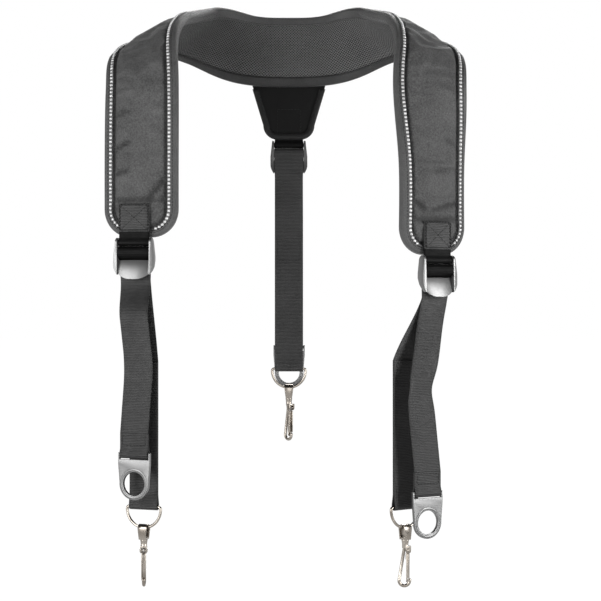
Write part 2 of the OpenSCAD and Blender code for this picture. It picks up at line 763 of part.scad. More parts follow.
// The gate: a leaf that closes on the inside of the nose, with two lugs on the pivot
gate_face = nose_x + nose_r - nose_ball_r - face_clear;
gate_past = 1.6;
gate_foot = -nose_depth - gate_past;
gate_shoulder = 2.6;
notch_depth = 4.5;
module gate() {
  back_face = gate_face - gate_thick;
  tip = gate_foot + gate_width / 2;
  lug_y = ear_gap - face_clear - lug_thick / 2;
  color(nickel)
    difference() {
      union() {
        translate([back_face, -gate_width / 2, tip])
          cube([gate_thick, gate_width, -pivot_depth - gate_shoulder - tip]);
        translate([back_face, 0, tip])
          rotate([0, 90, 0]) cylinder(r = gate_width / 2, h = gate_thick);
        for (m = [-1, 1]) {
          translate([pivot_x, m * lug_y, -pivot_depth])
            rotate([90, 0, 0]) cylinder(r = lug_r, h = lug_thick, center = true);
          translate([back_face, m * lug_y - lug_thick / 2, -pivot_depth - notch_depth])
            cube([pivot_x - back_face, lug_thick, notch_depth]);
        }
      }
      translate([pivot_x, 0, -pivot_depth]) rotate([90, 0, 0])
        cylinder(r = pin_r + run_clear, h = 4 * ear_gap, center = true);
      translate([back_face - cut, lug_thick / 2 - lug_y, -pivot_depth - notch_depth])
        cube([gate_thick + 2 * cut, 2 * lug_y - lug_thick, notch_depth]);
    }
}

rivet_head = 0.6;
rivet_ratio = 1.6;
module gate_pin() {
  half = ear_gap + ear_thick;
  color(nickel)
    translate([pivot_x, 0, -pivot_depth]) rotate([90, 0, 0]) {
      cylinder(r = pin_r, h = 2 * half, center = true);
      for (m = [-1, 1]) translate([0, 0, m * (half + rivet_head / 2)])
        cylinder(r = rivet_ratio * pin_r, h = rivet_head, center = true);
    }
}

// A small torsion spring on the pin: one leg on the gate's leaf and one against the hook's head
coil_r = 1.5;
coil_wire_r = 0.28;
coil_turns = 3;
coil_pitch = 0.6;
coil_steps = 10;
coil_sides = 6;
leg_clear = 0.1;
leg_bend = 0.6;
lead_high = 1.9;
lead_bend = 1.2;
module gate_spring() {
  wide = coil_turns * coil_pitch / 2;
  lead = [[-lead_bend * coil_r, wide, lead_high], [-lead_bend * coil_r, wide, lead_bend]];
  coil = [for (i = [0 : coil_turns * coil_steps]) let (a = 180 + i * 360 / coil_steps)
    [coil_r * cos(a), wide - i * coil_pitch / coil_steps, coil_r * sin(a)]];
  leg_x = gate_face - gate_thick - coil_wire_r - leg_clear - pivot_x;
  leg = [[leg_x, -wide, leg_bend - notch_depth], [leg_x, -wide, -2 * notch_depth]];
  path = concat(lead, coil, leg);
  n = len(path) - 1;
  color(spring_steel)
    translate([pivot_x, 0, -pivot_depth])
      skin([for (i = [0 : n])
        let (
          along = unit(path[min(i + 1, n)] - path[max(i - 1, 0)]),
          side = unit(cross(along, [0, 1, 0])),
          up = cross(side, along)
        ) [for (j = [0 : coil_sides - 1]) let (a = j * 360 / coil_sides)
          path[i] + coil_wire_r * (cos(a) * side + sin(a) * up)]]);
}

outer_shell();
foam_core();
mesh_lining();
edge_binding();
reflective_piping();
back_tab();
back_tab_binding();
for (s = straps) {
  at_lock(s) anchor_webbing();
  at_lock(s) ladder_lock();
  at_lock(s) strap(s);
  at_lock(s) tail(s);
  at_pull(s) tail_hem();
  at_pull(s) pull_ring();
  at_ring(s) ring_loop();
  at_ring(s) d_ring();
  at_eye(s) hook_eye();
  at_hook(s) hook_body();
  at_hook(s) gate();
  at_hook(s) gate_pin();
  at_hook(s) gate_spring();
}
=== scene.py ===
"""Looks of the padded three-point shoulder strap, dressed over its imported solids. Metres, +Z up."""

import math

import bmesh
import bpy
import numpy as np
from mathutils import Matrix, Vector


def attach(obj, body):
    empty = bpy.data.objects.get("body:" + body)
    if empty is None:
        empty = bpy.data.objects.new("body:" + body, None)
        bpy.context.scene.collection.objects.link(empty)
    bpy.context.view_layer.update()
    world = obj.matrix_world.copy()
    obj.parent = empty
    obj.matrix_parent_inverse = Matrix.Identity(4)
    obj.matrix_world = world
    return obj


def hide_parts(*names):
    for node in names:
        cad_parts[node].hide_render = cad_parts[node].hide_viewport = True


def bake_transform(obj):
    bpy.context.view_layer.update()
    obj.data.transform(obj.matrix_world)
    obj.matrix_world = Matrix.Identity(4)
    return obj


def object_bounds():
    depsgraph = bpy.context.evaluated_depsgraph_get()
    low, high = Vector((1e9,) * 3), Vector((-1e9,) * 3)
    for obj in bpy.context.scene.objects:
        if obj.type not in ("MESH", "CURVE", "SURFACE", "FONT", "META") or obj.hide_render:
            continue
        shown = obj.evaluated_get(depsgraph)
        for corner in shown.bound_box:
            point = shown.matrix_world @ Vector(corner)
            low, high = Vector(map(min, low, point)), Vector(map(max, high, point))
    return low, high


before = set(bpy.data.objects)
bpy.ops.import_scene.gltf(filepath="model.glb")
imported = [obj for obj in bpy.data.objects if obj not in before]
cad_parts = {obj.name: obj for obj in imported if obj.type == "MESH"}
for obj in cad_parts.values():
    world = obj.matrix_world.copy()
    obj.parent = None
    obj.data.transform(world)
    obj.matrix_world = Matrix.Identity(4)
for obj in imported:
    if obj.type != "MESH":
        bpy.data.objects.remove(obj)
cad_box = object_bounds()

MM = 0.001

# The yoke, with the sizes that its solids have
FRONT_HALF = 147 * MM
YOKE_DEPTH = 176 * MM
CREST_RISE = 11 * MM
SHOULDER_FALL = 36 * MM
PAD_HALF = 37.75 * MM
PAD_THICK = 12 * MM
EDGE_THICK = 6 * MM
EDGE_ROLL = 22 * MM
END_ROUND = 27 * MM
DROPS = {"right": 215 * MM, "left": 233 * MM}
TOES = {"right": math.radians(12), "left": math.radians(31)}
SHELL_THICK = 1.2 * MM
LINING_THICK = 2 * MM
LAYER_GAP = 0.15 * MM
BINDING_THICK = 1 * MM
BINDING_GAP = 0.5 * MM
BINDING_OUT = 4.5 * MM
BINDING_IN = 9 * MM
PIPING_HALF = 1.9 * MM
PIPING_HIGH = 2.4 * MM

# The back tab
TAB_TOP = 92 * MM
TAB_LOW = 56 * MM
TAB_REACH = 59 * MM
TAB_LAP = 16 * MM
TAB_ROUND = 15 * MM
TAB_THICK = 4 * MM
TAB_BINDING = 6 * MM

# Webbing and adjusters
WEB_HALF = 16 * MM
WEB_THICK = 1.5 * MM
WEB_CLEAR = 0.3 * MM
WEB_GAP = 0.2 * MM
ANCHOR_PATCH = 29 * MM
BAR_DROP = 6.8 * MM
STRAP_SUM = 486 * MM
LOOP_LENGTH = 148 * MM
LOOP_SEWN = 25 * MM
PULL_STAND = 15 * MM
HEM_LENGTH = 22 * MM
TOP_BAR_R = 2 * MM
LOCK_BAR_R = 4.2 * MM
LOCK_DROP = 10.2 * MM
LOCK_FORE = 0.4 * MM
TONGUE_LENGTH = 20 * MM
PULL_HALF = 18 * MM
PULL_THICK = 3.6 * MM
FINGER_R = 12 * MM
PULL_ROUND = 16.5 * MM
FINGER_DROP = 29 * MM
PULL_BAR_R = 1.7 * MM
PULL_SLOT = 2.6 * MM
RING_WIRE_R = 1.5 * MM
RING_BOW = 19 * MM
RING_CORNER = 2.5 * MM


def smooth(f):
    g = np.clip(f, 0, 1)
    return g * g * (3 - 2 * g)


def unit(v):
    v = np.asarray(v, float)
    return v / np.linalg.norm(v, axis=-1, keepdims=True)


def square_to(v, along):
    """The direction of v with its part along another direction taken out."""
    return unit(v - (v * along).sum(-1, keepdims=True) * along)


# The yoke's surface: u runs along the band from the right end to the left one, w across it and h outward
HANG_TOP = CREST_RISE - 2.1 * SHOULDER_FALL
HALF_STEPS = 8
LAST = 2 * HALF_STEPS


def half_path(drop):
    return np.array([
        (0, 0, 0),
        (0.31 * FRONT_HALF, -0.04 * YOKE_DEPTH, 0.15 * CREST_RISE),
        (0.65 * FRONT_HALF, -0.13 * YOKE_DEPTH, CREST_RISE),
        (0.81 * FRONT_HALF, -0.33 * YOKE_DEPTH, 0.85 * CREST_RISE),
        (0.93 * FRONT_HALF, -0.61 * YOKE_DEPTH, CREST_RISE - 0.36 * SHOULDER_FALL),
        (FRONT_HALF, -0.84 * YOKE_DEPTH, CREST_RISE - SHOULDER_FALL),
        (FRONT_HALF, -0.96 * YOKE_DEPTH, HANG_TOP),
        (FRONT_HALF, -YOKE_DEPTH, HANG_TOP - 0.45 * (drop + HANG_TOP)),
        (FRONT_HALF, -YOKE_DEPTH, -drop)])


def half_lay(toe):
    hang = (-math.cos(toe), -math.sin(toe), 0)
    return np.array([
        (0, 0, 1), (-0.05, -0.05, 1), (-0.5, -0.55, 0.67), (-0.75, -0.48, 0.45), (-0.85, -0.31, 0.42),
        (-0.92, -0.18, 0.33), (-0.96, -0.2, 0.2), hang, hang])


def both_halves(right_half, left_half):
    return np.concatenate([right_half[:0:-1] * (-1, 1, 1), left_half])


PATH = both_halves(half_path(DROPS["right"]), half_path(DROPS["left"]))
LAY = both_halves(half_lay(TOES["right"]), half_lay(TOES["left"]))
END_RUNS = (np.linalg.norm(PATH[1] - PATH[0]), np.linalg.norm(PATH[-1] - PATH[-2]))


def curve(stations, u):
    """A smooth curve through the stations, which are carried on past both ends."""
    u = np.asarray(u, float)
    i = np.clip(np.floor(u).astype(int), 0, LAST - 1)
    f = (u - i)[..., None]
    longer = np.concatenate([2 * stations[:1] - stations[1:2], stations, 2 * stations[-1:] - stations[-2:-1]])
    a, b, c, d = (longer[i + step] for step in range(4))
    return b + 0.5 * f * (c - a + f * (2 * a - 5 * b + 4 * c - d + f * (3 * b - a - 3 * c + d)))


def yoke_axes(u):
    step = 0.02
    along = unit(curve(PATH, u + step) - curve(PATH, u - step))
    across = square_to(curve(LAY, u), along)
    return along, across, np.cross(across, along)


def yoke_point(u, w, h):
    u, w, h = np.broadcast_arrays(*(np.asarray(x, float) for x in (u, w, h)))
    _, across, out = yoke_axes(u)
    return curve(PATH, u) + w[..., None] * across + h[..., None] * out


def path_lengths(points):
    steps = np.linalg.norm(np.diff(points, axis=0), axis=1)
    return np.concatenate([[0], np.cumsum(steps)])


def at_lengths(places, length, values):
    """Values along a line, at places that tell the distance from its start."""
    return np.stack([np.interp(places, length, column) for column in values.T], axis=-1)


ROW_STEP = 3 * MM
TIP_STEPS = 14
FINE_U = np.linspace(0, LAST, 4001)
FINE_LENGTH = path_lengths(curve(PATH, FINE_U))
BAND_LENGTH = FINE_LENGTH[-1]


def band_length_at(u):
    return np.interp(u, FINE_U, FINE_LENGTH)


def outline(inset):
    """The band's outline moved in by an inset: u and half width of each row, from end to end."""
    r = END_ROUND - inset
    turn = np.linspace(math.pi / 2, 0, TIP_STEPS)
    tip_u = inset + r * (1 - np.sin(turn))
    tip_half = PAD_HALF - inset - r * (1 - np.cos(turn))
    lead = END_ROUND + ROW_STEP
    rows = int((BAND_LENGTH - 2 * lead) / ROW_STEP)
    middle = np.interp(np.linspace(lead, BAND_LENGTH - lead, rows), FINE_LENGTH, FINE_U)
    u = np.concatenate([tip_u / END_RUNS[0], middle, LAST - tip_u[::-1] / END_RUNS[1]])
    half = np.concatenate([tip_half, np.full(rows, PAD_HALF - inset), tip_half[::-1]])
    return u, half


def from_end(u):
    """Distance from the band's nearer end, true in the straight run at each end."""
    return np.where(u < HALF_STEPS, u * END_RUNS[0], (LAST - u) * END_RUNS[1])


def inset_of(u, w):
    beside = np.maximum(0, np.abs(w) - PAD_HALF + END_ROUND)
    below = np.maximum(0, END_ROUND - from_end(u))
    return END_ROUND - np.hypot(beside, below)


OUTER_SHARE = 0.6


def roll(inset):
    return np.maximum(0, 1 - inset / EDGE_ROLL) ** 2


def face_out(inset):
    return PAD_THICK - OUTER_SHARE * (PAD_THICK - EDGE_THICK) * roll(inset)


def face_in(inset):
    return (1 - OUTER_SHARE) * (PAD_THICK - EDGE_THICK) * roll(inset)


# Mesh helpers
WELD = 1e-6


def new_object(name, data):
    made = bpy.data.objects.new(name, data)
    bpy.context.scene.collection.objects.link(made)
    return made


def mesh_object(name, points, faces, material, uvs=None):
    mesh = bpy.data.meshes.new(name)
    mesh.from_pydata([tuple(p) for p in np.asarray(points, float)], [], faces)
    if uvs is not None:
        layer = mesh.uv_layers.new(name="UVMap")
        loops = np.zeros(len(mesh.loops), int)
        mesh.loops.foreach_get("vertex_index", loops)
        layer.data.foreach_set("uv", np.reshape(uvs, (-1, 2)).astype(np.float32)[loops].ravel())
    mesh.shade_smooth()
    mesh.materials.append(material)
    return new_object(name, mesh)


def grid_faces(rows, columns, wrap_rows=False, wrap_columns=True):
    faces = []
    for i in range(rows if wrap_rows else rows - 1):
        for j in range(columns if wrap_columns else columns - 1):
            a = i * columns + j
            b = i * columns + (j + 1) % columns
            down = ((i + 1) % rows - i) * columns
            faces.append((a, b, b + down, a + down))
    return faces


def tube(rings):
    """Points and faces of rings joined in a row, with both ends closed by strips."""
    rings = np.asarray(rings)
    rows, columns = rings.shape[:2]
    faces = grid_faces(rows, columns)
    for first, turn in ((0, -1), ((rows - 1) * columns, 1)):
        for j in range(columns // 2 - 1):
            quad = (first + j, first + j + 1, first + columns - 2 - j, first + columns - 1 - j)
            faces.append(quad[::turn])
    return rings.reshape(-1, 3), faces


def round_tube(rings):
    """Points and faces of rings joined in a round."""
    return rings.reshape(-1, 3), grid_faces(*rings.shape[:2], wrap_rows=True)


def strip_uvs(across, along):
    """Places across and along a strip, for each point of its rings."""
    return np.stack(np.broadcast_arrays(across[None, :], along[:, None]), axis=-1)


def full_turn(count):
    return np.linspace(0, 2 * math.pi, count, endpoint=False)


def circle(side, up, count):
    """A ring of points round the origin, through both directions."""
    turn = full_turn(count)[:, None]
    return np.cos(turn) * side + np.sin(turn) * up


def upright(line, height):
    """A line that is drawn in X and Z, set at a height in Y."""
    line = np.asarray(line, float)
    return np.stack([line[:, 0], np.broadcast_to(height, len(line)), line[:, 1]], axis=1)


def joined(parts):
    """Several lists of points and faces as one."""
    points, faces, count = [], [], 0
    for part_points, part_faces in parts:
        points.append(part_points)
        faces += [tuple(v + count for v in f) for f in part_faces]
        count += len(part_points)
    return np.concatenate(points), faces


def outward(piece, weld=False):
    """Turns the faces of a closed piece outward, once its points are welded where that is asked for."""
    work = bmesh.new()
    work.from_mesh(piece.data)
    if weld:
        bmesh.ops.remove_doubles(work, verts=work.verts, dist=WELD)
    bmesh.ops.recalc_face_normals(work, faces=work.faces)
    work.to_mesh(piece.data)
    work.free()
    return piece


def placed(points, place):
    m = np.array(place)
    return np.asarray(points, float) @ m[:3, :3].T + m[:3, 3]


def dress(piece, body, slot, *nodes):
    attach(piece, body)
    if nodes:
        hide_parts(*nodes)
    return piece


# Materials
def add_node(tree, kind, settings=None, **inputs):
    """A shader node. Inputs are named, with _ for blanks, or numbered, and take a constant or a socket."""
    made = tree.nodes.new(kind)
    for key, value in (settings or {}).items():
        setattr(made, key, value)
    for key, value in inputs.items():
        wanted = int(key[1:]) if key[0] == "i" and key[1:].isdigit() else key.replace("_", " ")
        socket = made.inputs[wanted]
        if isinstance(value, bpy.types.NodeSocket):
            tree.links.new(value, socket)
        else:
            socket.default_value = value
    return made


def maths(tree, operation, a, b=0.0, c=0.0):
    return add_node(tree, "ShaderNodeMath", {"operation": operation}, i0=a, i1=b, i2=c).outputs[0]


def weighted(tree, *terms):
    """The sum of sockets, each times its weight."""
    total = 0.0
    for socket, weight in terms:
        total = maths(tree, "MULTIPLY_ADD", socket, weight, total)
    return total


def noise(tree, place, scale, detail=3.0, roughness=0.55):
    return add_node(tree, "ShaderNodeTexNoise", Vector=place, Scale=scale, Detail=detail,
                    Roughness=roughness).outputs["Fac"]


def ramp(tree, value, dark, light, low=0.3, high=0.7):
    """A colour, or a grey given by a number, from dark to light as the value goes from low to high."""
    made = add_node(tree, "ShaderNodeValToRGB", Fac=value)
    for stop, place, colour in zip(made.color_ramp.elements, (low, high), (dark, light)):
        stop.position = place
        stop.color = (*np.broadcast_to(colour, 3), 1)
    return made.outputs["Color"]


def bump(tree, height, distance, strength, under=None):
    made = add_node(tree, "ShaderNodeBump", Height=height, Distance=distance, Strength=strength)
    if under is not None:
        tree.links.new(under, made.inputs["Normal"])
    return made.outputs["Normal"]


def new_material(name, **constants):
    made = bpy.data.materials.new(name)
    made.use_nodes = True
    for key, value in constants.items():
        made.node_tree.nodes["Principled BSDF"].inputs[key.replace("_", " ")].default_value = value
    return made, made.node_tree


def finished(made, **sockets):
    """The material, with these sockets joined to its shader."""
    for key, socket in sockets.items():
        wanted = made.node_tree.nodes["Principled BSDF"].inputs[key.replace("_", " ")]
        made.node_tree.links.new(socket, wanted)
    return made


def object_space(tree):
    return add_node(tree, "ShaderNodeTexCoord").outputs["Object"]


def sheet_places(tree):
    """Across and along a piece of cloth, in metres, and its place in space."""
    uv = add_node(tree, "ShaderNodeUVMap").outputs["UV"]
    split = add_node(tree, "ShaderNodeSeparateXYZ", Vector=uv)
    return split.outputs["X"], split.outputs["Y"], object_space(tree)


def wave(tree, place, pitch):
    """A sine of that pitch, from 0 to 1."""
    sine = maths(tree, "SINE", maths(tree, "MULTIPLY", place, 2 * math.pi / pitch))
    return maths(tree, "MULTIPLY_ADD", sine, 0.5, 0.5)


SHELL_YARN = 0.9 * MM
MESH_PITCH = 3.1 * MM
WEB_YARN = 0.8 * MM


def shell_fabric():
    """Plain-woven polyester: crossed yarns, with slubs, dusty patches, a soft sheen, and painted shade
    darkening its creases and seam grooves.
    """
    made, tree = new_material("shell_fabric", Sheen_Weight=0.12, Sheen_Roughness=0.45,
                              Specular_IOR_Level=0.3)
    across, along, space = sheet_places(tree)
    weave = maths(tree, "MULTIPLY", wave(tree, across, SHELL_YARN), wave(tree, along, SHELL_YARN))
    slub = noise(tree, space, 620.0, 3.0, 0.7)
    dust = noise(tree, space, 24.0, 5.0, 0.65)
    # Painted shade: the shell's colour is darkened in its creases and seam grooves, where shade falls
    fold_shade = add_node(tree, "ShaderNodeAttribute", {"attribute_name": "fold_shade"}).outputs["Fac"]
    tone = weighted(tree, (weave, 0.25), (slub, 0.9), (fold_shade, -0.22), (dust, 0.35))
    return finished(made, Base_Color=ramp(tree, tone, 0.003, 0.064, 0.45, 0.92),
                    Roughness=ramp(tree, slub, 0.62, 0.82),
                    Normal=bump(tree, weave, 0.25 * MM, 0.5, bump(tree, dust, 1.2 * MM, 0.25)))


def spacer_mesh():
    """Knitted mesh: a lattice of round holes on the bias, over a darker ground, with painted shade that
    darkens it far from the nape.
    """
    made, tree = new_material("spacer_mesh", Sheen_Weight=0.08, Sheen_Roughness=0.5,
                              Specular_IOR_Level=0.25)
    across, along, space = sheet_places(tree)
    bias = [wave(tree, maths(tree, way, across, along), MESH_PITCH) for way in ("ADD", "SUBTRACT")]
    knit = maths(tree, "MAXIMUM", *bias)
    fuzz = noise(tree, space, 1400.0, 2.0)
    worn = noise(tree, space, 14.0, 3.0)
    # Painted shade: the mesh grows darker with distance from the nape's middle, where the band curves round
    shade_from_nape = maths(tree, "ABSOLUTE", maths(tree, "SUBTRACT", along, BAND_LENGTH / 2))
    tone = weighted(tree, (knit, 0.8), (fuzz, 0.2), (worn, 0.2), (shade_from_nape, -2.0))
    return finished(made, Base_Color=ramp(tree, tone, 0.0005, 0.09, 0.58, 0.88),
                    Roughness=ramp(tree, fuzz, 0.7, 0.9),
                    Normal=bump(tree, knit, 1.1 * MM, 0.8))


def ribbed_cloth(name, pitch, dark, light, sheen, gloss):
    """Webbing or grosgrain: ribs across the piece, crossed by fine yarns."""
    made, tree = new_material(name, Sheen_Weight=sheen, Sheen_Roughness=0.4, Specular_IOR_Level=gloss)
    across, along, space = sheet_places(tree)
    uneven = maths(tree, "MULTIPLY_ADD", noise(tree, space, 160.0, 2.0), pitch, along)
    rib = wave(tree, uneven, pitch)
    yarn = maths(tree, "MULTIPLY_ADD", wave(tree, across, WEB_YARN), 0.45, 0.5)
    fuzz = noise(tree, space, 1200.0, 2.0)
    worn = noise(tree, space, 30.0, 4.0, 0.6)
    tone = weighted(tree, (rib, 0.4), (fuzz, 0.6), (worn, 0.3))
    return finished(made, Base_Color=ramp(tree, tone, dark, light, 0.4, 0.95),
                    Roughness=ramp(tree, fuzz, 0.42, 0.62),
                    Normal=bump(tree, maths(tree, "MULTIPLY", rib, yarn), 0.3 * MM, 0.6))


def moulded_plastic(name, gloss, coat):
    """Moulded acetal, with a fine grain, faint flow marks and rubbed patches."""
    made, tree = new_material(name, Specular_IOR_Level=gloss, Coat_Weight=coat, Coat_Roughness=0.35)
    space = object_space(tree)
    flow = noise(tree, space, 60.0, 4.0, 0.6)
    return finished(made, Base_Color=ramp(tree, flow, 0.016, 0.022),
                    Roughness=ramp(tree, flow, 0.34, 0.4, high=0.75),
                    Normal=bump(tree, noise(tree, space, 2600.0, 2.0), 0.005 * MM, 0.1))


def plated(name, dark, light, rough):
    """Plated metal with a warm cast, cloudy polish and fine scratches."""
    made, tree = new_material(name, Metallic=1.0)
    space = object_space(tree)
    cloud = noise(tree, space, 70.0, 2.0, 0.5)
    stretched = add_node(tree, "ShaderNodeMapping", Vector=space, Scale=(1.0, 1.0, 0.08)).outputs[0]
    return finished(made, Base_Color=ramp(tree, cloud, dark, light, high=0.65),
                    Roughness=ramp(tree, cloud, rough, rough + 0.14),
                    Normal=bump(tree, noise(tree, stretched, 3000.0, 2.0), 0.004 * MM, 0.05))


def reflective_silver():
    """Silvery print of tiny glass beads."""
    made, tree = new_material("reflective", Metallic=0.25, Specular_IOR_Level=0.7)
    space = object_space(tree)
    bead = noise(tree, space, 3500.0, 1.0)
    return finished(made, Base_Color=ramp(tree, noise(tree, space, 260.0, 3.0), 0.22, 0.44, high=0.65),
                    Roughness=ramp(tree, bead, 0.3, 0.5),
                    Normal=bump(tree, bead, 0.05 * MM, 0.5))


def sewing_thread():
    """Twisted polyester thread."""
    made, tree = new_material("thread", Sheen_Weight=0.04, Specular_IOR_Level=0.15)
    twist = noise(tree, object_space(tree), 2400.0, 2.0)
    return finished(made, Base_Color=ramp(tree, twist, 0.001, 0.005),
                    Roughness=ramp(tree, twist, 0.45, 0.65))


# Each ribbed cloth has its rib pitch, its darkest and lightest grey, its sheen and its gloss
BINDING = ribbed_cloth("binding", 1.1 * MM, 0.01, 0.065, 0.1, 0.3)
# A darker copy of the binding: painted shade for its lower edge below the nape
SHADED_BINDING = ribbed_cloth("shaded_binding", 1.1 * MM, 0.001, 0.036, 0.03, 0.2)
PIPING = ribbed_cloth("piping_base", 1.0 * MM, 0.03, 0.09, 0.1, 0.3)
TAB = ribbed_cloth("tab_fabric", 0.9 * MM, 0.001, 0.005, 0.0, 0.1)
WEBBING = ribbed_cloth("webbing", 1.6 * MM, 0.0, 0.034, 0.02, 0.2)
# A darker, duller copy of the webbing: painted shade for the folds in and beside the adjusters
SHADE_WEBBING = ribbed_cloth("shade_webbing", 1.6 * MM, 0.0005, 0.004, 0.0, 0.06)
PATCH = ribbed_cloth("patch_webbing", 1.6 * MM, 0.001, 0.05, 0.02, 0.15)
TAB_TRIM = ribbed_cloth("tab_trim", 1.1 * MM, 0.002, 0.012, 0.02, 0.15)
SHELL = shell_fabric()
MESH = spacer_mesh()
PLASTIC = moulded_plastic("plastic", 1.0, 0.5)
# A less glossy copy of the same plastic for the back adjuster, whose weaker reflections stand in for the
# shade it lies in: painted shade
SHADED_PLASTIC = moulded_plastic("shaded_plastic", 0.45, 0.1)
NICKEL = plated("nickel", (0.19, 0.168, 0.145), (0.33, 0.303, 0.27), 0.2)
STEEL = plated("spring_steel", (0.3, 0.29, 0.28), (0.55, 0.54, 0.53), 0.25)
SILVER = reflective_silver()
THREAD = sewing_thread()


# Stitches: short capsules, half sunk in the cloth, as rings with their place along and their size
STITCH_LONG = 2.6 * MM
STITCH_GAP = 0.7 * MM
THREAD_R = 0.3 * MM
# Thicker dark thread for the patches' outlines: real stitching that also stands in for the shadow gap round
# each patch, as painted shadow
PATCH_SHADOW_THREAD_R = 0.5 * MM
STITCH_SIDES = 6
STITCH_RINGS = ((-1.0, 0.25), (-0.8, 0.8), (0.0, 1.0), (0.8, 0.8), (1.0, 0.25))


def stitch(middle, along, up, radius):
    ring = radius * circle(np.cross(along, up), up, STITCH_SIDES)
    return tube([middle + x * STITCH_LONG / 2 * along + r * ring for x, r in STITCH_RINGS])


def stitch_line(points, ups, radius=THREAD_R):
    """Stitches at an even pitch along a line of points, with the cloth's outward direction at each."""
    points, ups = np.asarray(points, float), np.asarray(ups, float)
    length = path_lengths(points)
    count = max(1, int(length[-1] / (STITCH_LONG + STITCH_GAP)))
    ends = at_lengths(np.linspace(0, length[-1], count + 1), length, points)
    places = (np.arange(count) + 0.5) * length[-1] / count
    along = unit(ends[1:] - ends[:-1])
    up = square_to(at_lengths(places, length, ups), along)
    return [stitch(*each, radius) for each in zip(at_lengths(places, length, points), along, up)]


def straight_stitches(corners, up, radius=THREAD_R):
    """Stitches along straight runs between corners that lie on a flat face."""
    rows = []
    for ends in zip(corners[:-1], corners[1:]):
        rows += stitch_line(ends, (up, up), radius)
    return rows


def stitches(name, rows, body):
    return dress(mesh_object(name, *joined(rows), THREAD), body, "webbing")


# The padded band: columns lie closer together beside the edges, where the seams are
EDGE_COLUMNS = 15
MIDDLE_COLUMNS = 17
EDGE_ZONE = 0.38
SEAM_INSET = 10.2 * MM
SEAM_WIDE = 1.5 * MM
SEAM_DEEP = 1.7 * MM


def band_spread():
    edge = np.linspace(1, 1 - EDGE_ZONE, EDGE_COLUMNS)
    middle = np.linspace(1 - EDGE_ZONE, EDGE_ZONE - 1, MIDDLE_COLUMNS)[1:-1]
    return np.concatenate([-edge, -middle, edge[::-1]])


SPREAD = band_spread()
BAND_U, BAND_HALF = outline(0.0)
GRID_U = np.repeat(BAND_U[:, None], len(SPREAD), axis=1)
GRID_W = BAND_HALF[:, None] * SPREAD
GRID_INSET = np.maximum(inset_of(GRID_U, GRID_W), 0)
GRID_UV = np.stack([GRID_W, band_length_at(GRID_U)], axis=-1)


def there_and_back(low, high):
    return np.concatenate([low, high[:, ::-1]], axis=1)


def layer(name, low, high, material, fold_shade=None):
    """A closed layer of the band between two grids of points. An optional grid from 0 to 1 marks where
    painted shade darkens its creases and seam grooves.
    """
    rings = tube(there_and_back(low, high))
    piece = mesh_object(name, *rings, material, there_and_back(GRID_UV, GRID_UV))
    if fold_shade is not None:
        marks = piece.data.attributes.new("fold_shade", "FLOAT", "POINT")
        marks.data.foreach_set("value", there_and_back(fold_shade, fold_shade).ravel().astype(np.float32))
    return outward(piece)


# Cloth simulation of the outer shell: pinned at its seams, pressed out by the foam, a little too long
SIM_FRAMES = 18
SIM_CLOTH = {
    "quality": 6, "mass": 0.2, "tension_stiffness": 25, "compression_stiffness": 25, "shear_stiffness": 10,
    "bending_stiffness": 1.5, "shrink_min": -0.035, "use_pressure": True, "uniform_pressure_force": 1.2}
SIM_CAP_OUT = 2.6 * MM
SIM_CAP_IN = 1.4 * MM
PATCH_ROOM = 4 * MM
PIN_ROOM = 3 * MM
PIN_FADE = 2 * MM
SHELL_SINK = 0.4 * MM
ANCHOR_OUT = {"right": 5 * MM, "left": 1 * MM}
GRID_END = from_end(GRID_U)


def within(reach, place):
    """1 where the place is within reach, falling to 0 over the patch's room."""
    return smooth((reach + PATCH_ROOM - place) / PATCH_ROOM)


def under_patch():
    """How far each point of the shell is held down by the anchor patches and the back tab, from 0 to 1."""
    beside = np.abs(GRID_W + np.where(GRID_U < HALF_STEPS, ANCHOR_OUT["right"], ANCHOR_OUT["left"]))
    patch = within(WEB_HALF, beside) * within(ANCHOR_PATCH + PATCH_ROOM, GRID_END)
    x = np.abs(curve(PATH, GRID_U)[..., 0])
    return np.maximum(patch, within(TAB_TOP / 2, x) * within(TAB_LAP - PAD_HALF, GRID_W))


# Creases that the pads keep from handling: both ends of each, as distance from the pad's end and place
# across it, and its depth, in millimetres
CREASES = {
    "right": (((36, -33), (36, 33), 1.6), ((37, 10), (62, 31), 2.2), ((88, -29), (99, -8), 1.6),
              ((61, -29), (67, -10), 1.5), ((20, -31), (33, -20), 1.4), ((128, -29), (133, -9), 1.1)),
    "left": (((34, -33), (34, 33), 1.6), ((43, 7), (53, -30), 1.9), ((54, 27), (43, 12), 1.6),
             ((84, 5), (88, -28), 1.1), ((112, -29), (120, -10), 1.0))}
CREASE_WIDE = 3 * MM
CREASE_DARK = 1.5 * MM
CREASE_FADE = 3
CREASE_START = 0.4
RIDGE_HIGH = 0.7
RIDGE_OFF = 1.7


def creases():
    """Heights of the creases over the shell's grid."""
    total = np.zeros_like(GRID_W)
    for side, lines in CREASES.items():
        ours = (GRID_U < HALF_STEPS) == (side == "right")
        for a, b, deep in lines:
            a, b = np.array(a) * MM, np.array(b) * MM
            run = b - a
            place = np.stack([GRID_END, GRID_W], axis=-1) - a
            along = place @ run / (run @ run)
            off = (place[..., 1] * run[0] - place[..., 0] * run[1]) / np.linalg.norm(run)
            fade_in, fade_out = (smooth(f * CREASE_FADE + CREASE_START) for f in (along, 1 - along))
            ridge = RIDGE_HIGH * np.exp(-(off / CREASE_WIDE - RIDGE_OFF) ** 2)
            fold = ridge - np.exp(-(off / CREASE_WIDE) ** 2)
            total += ours * fade_in * fade_out * fold * deep * MM
    return total * smooth((GRID_INSET - SEAM_INSET) / CREASE_WIDE)


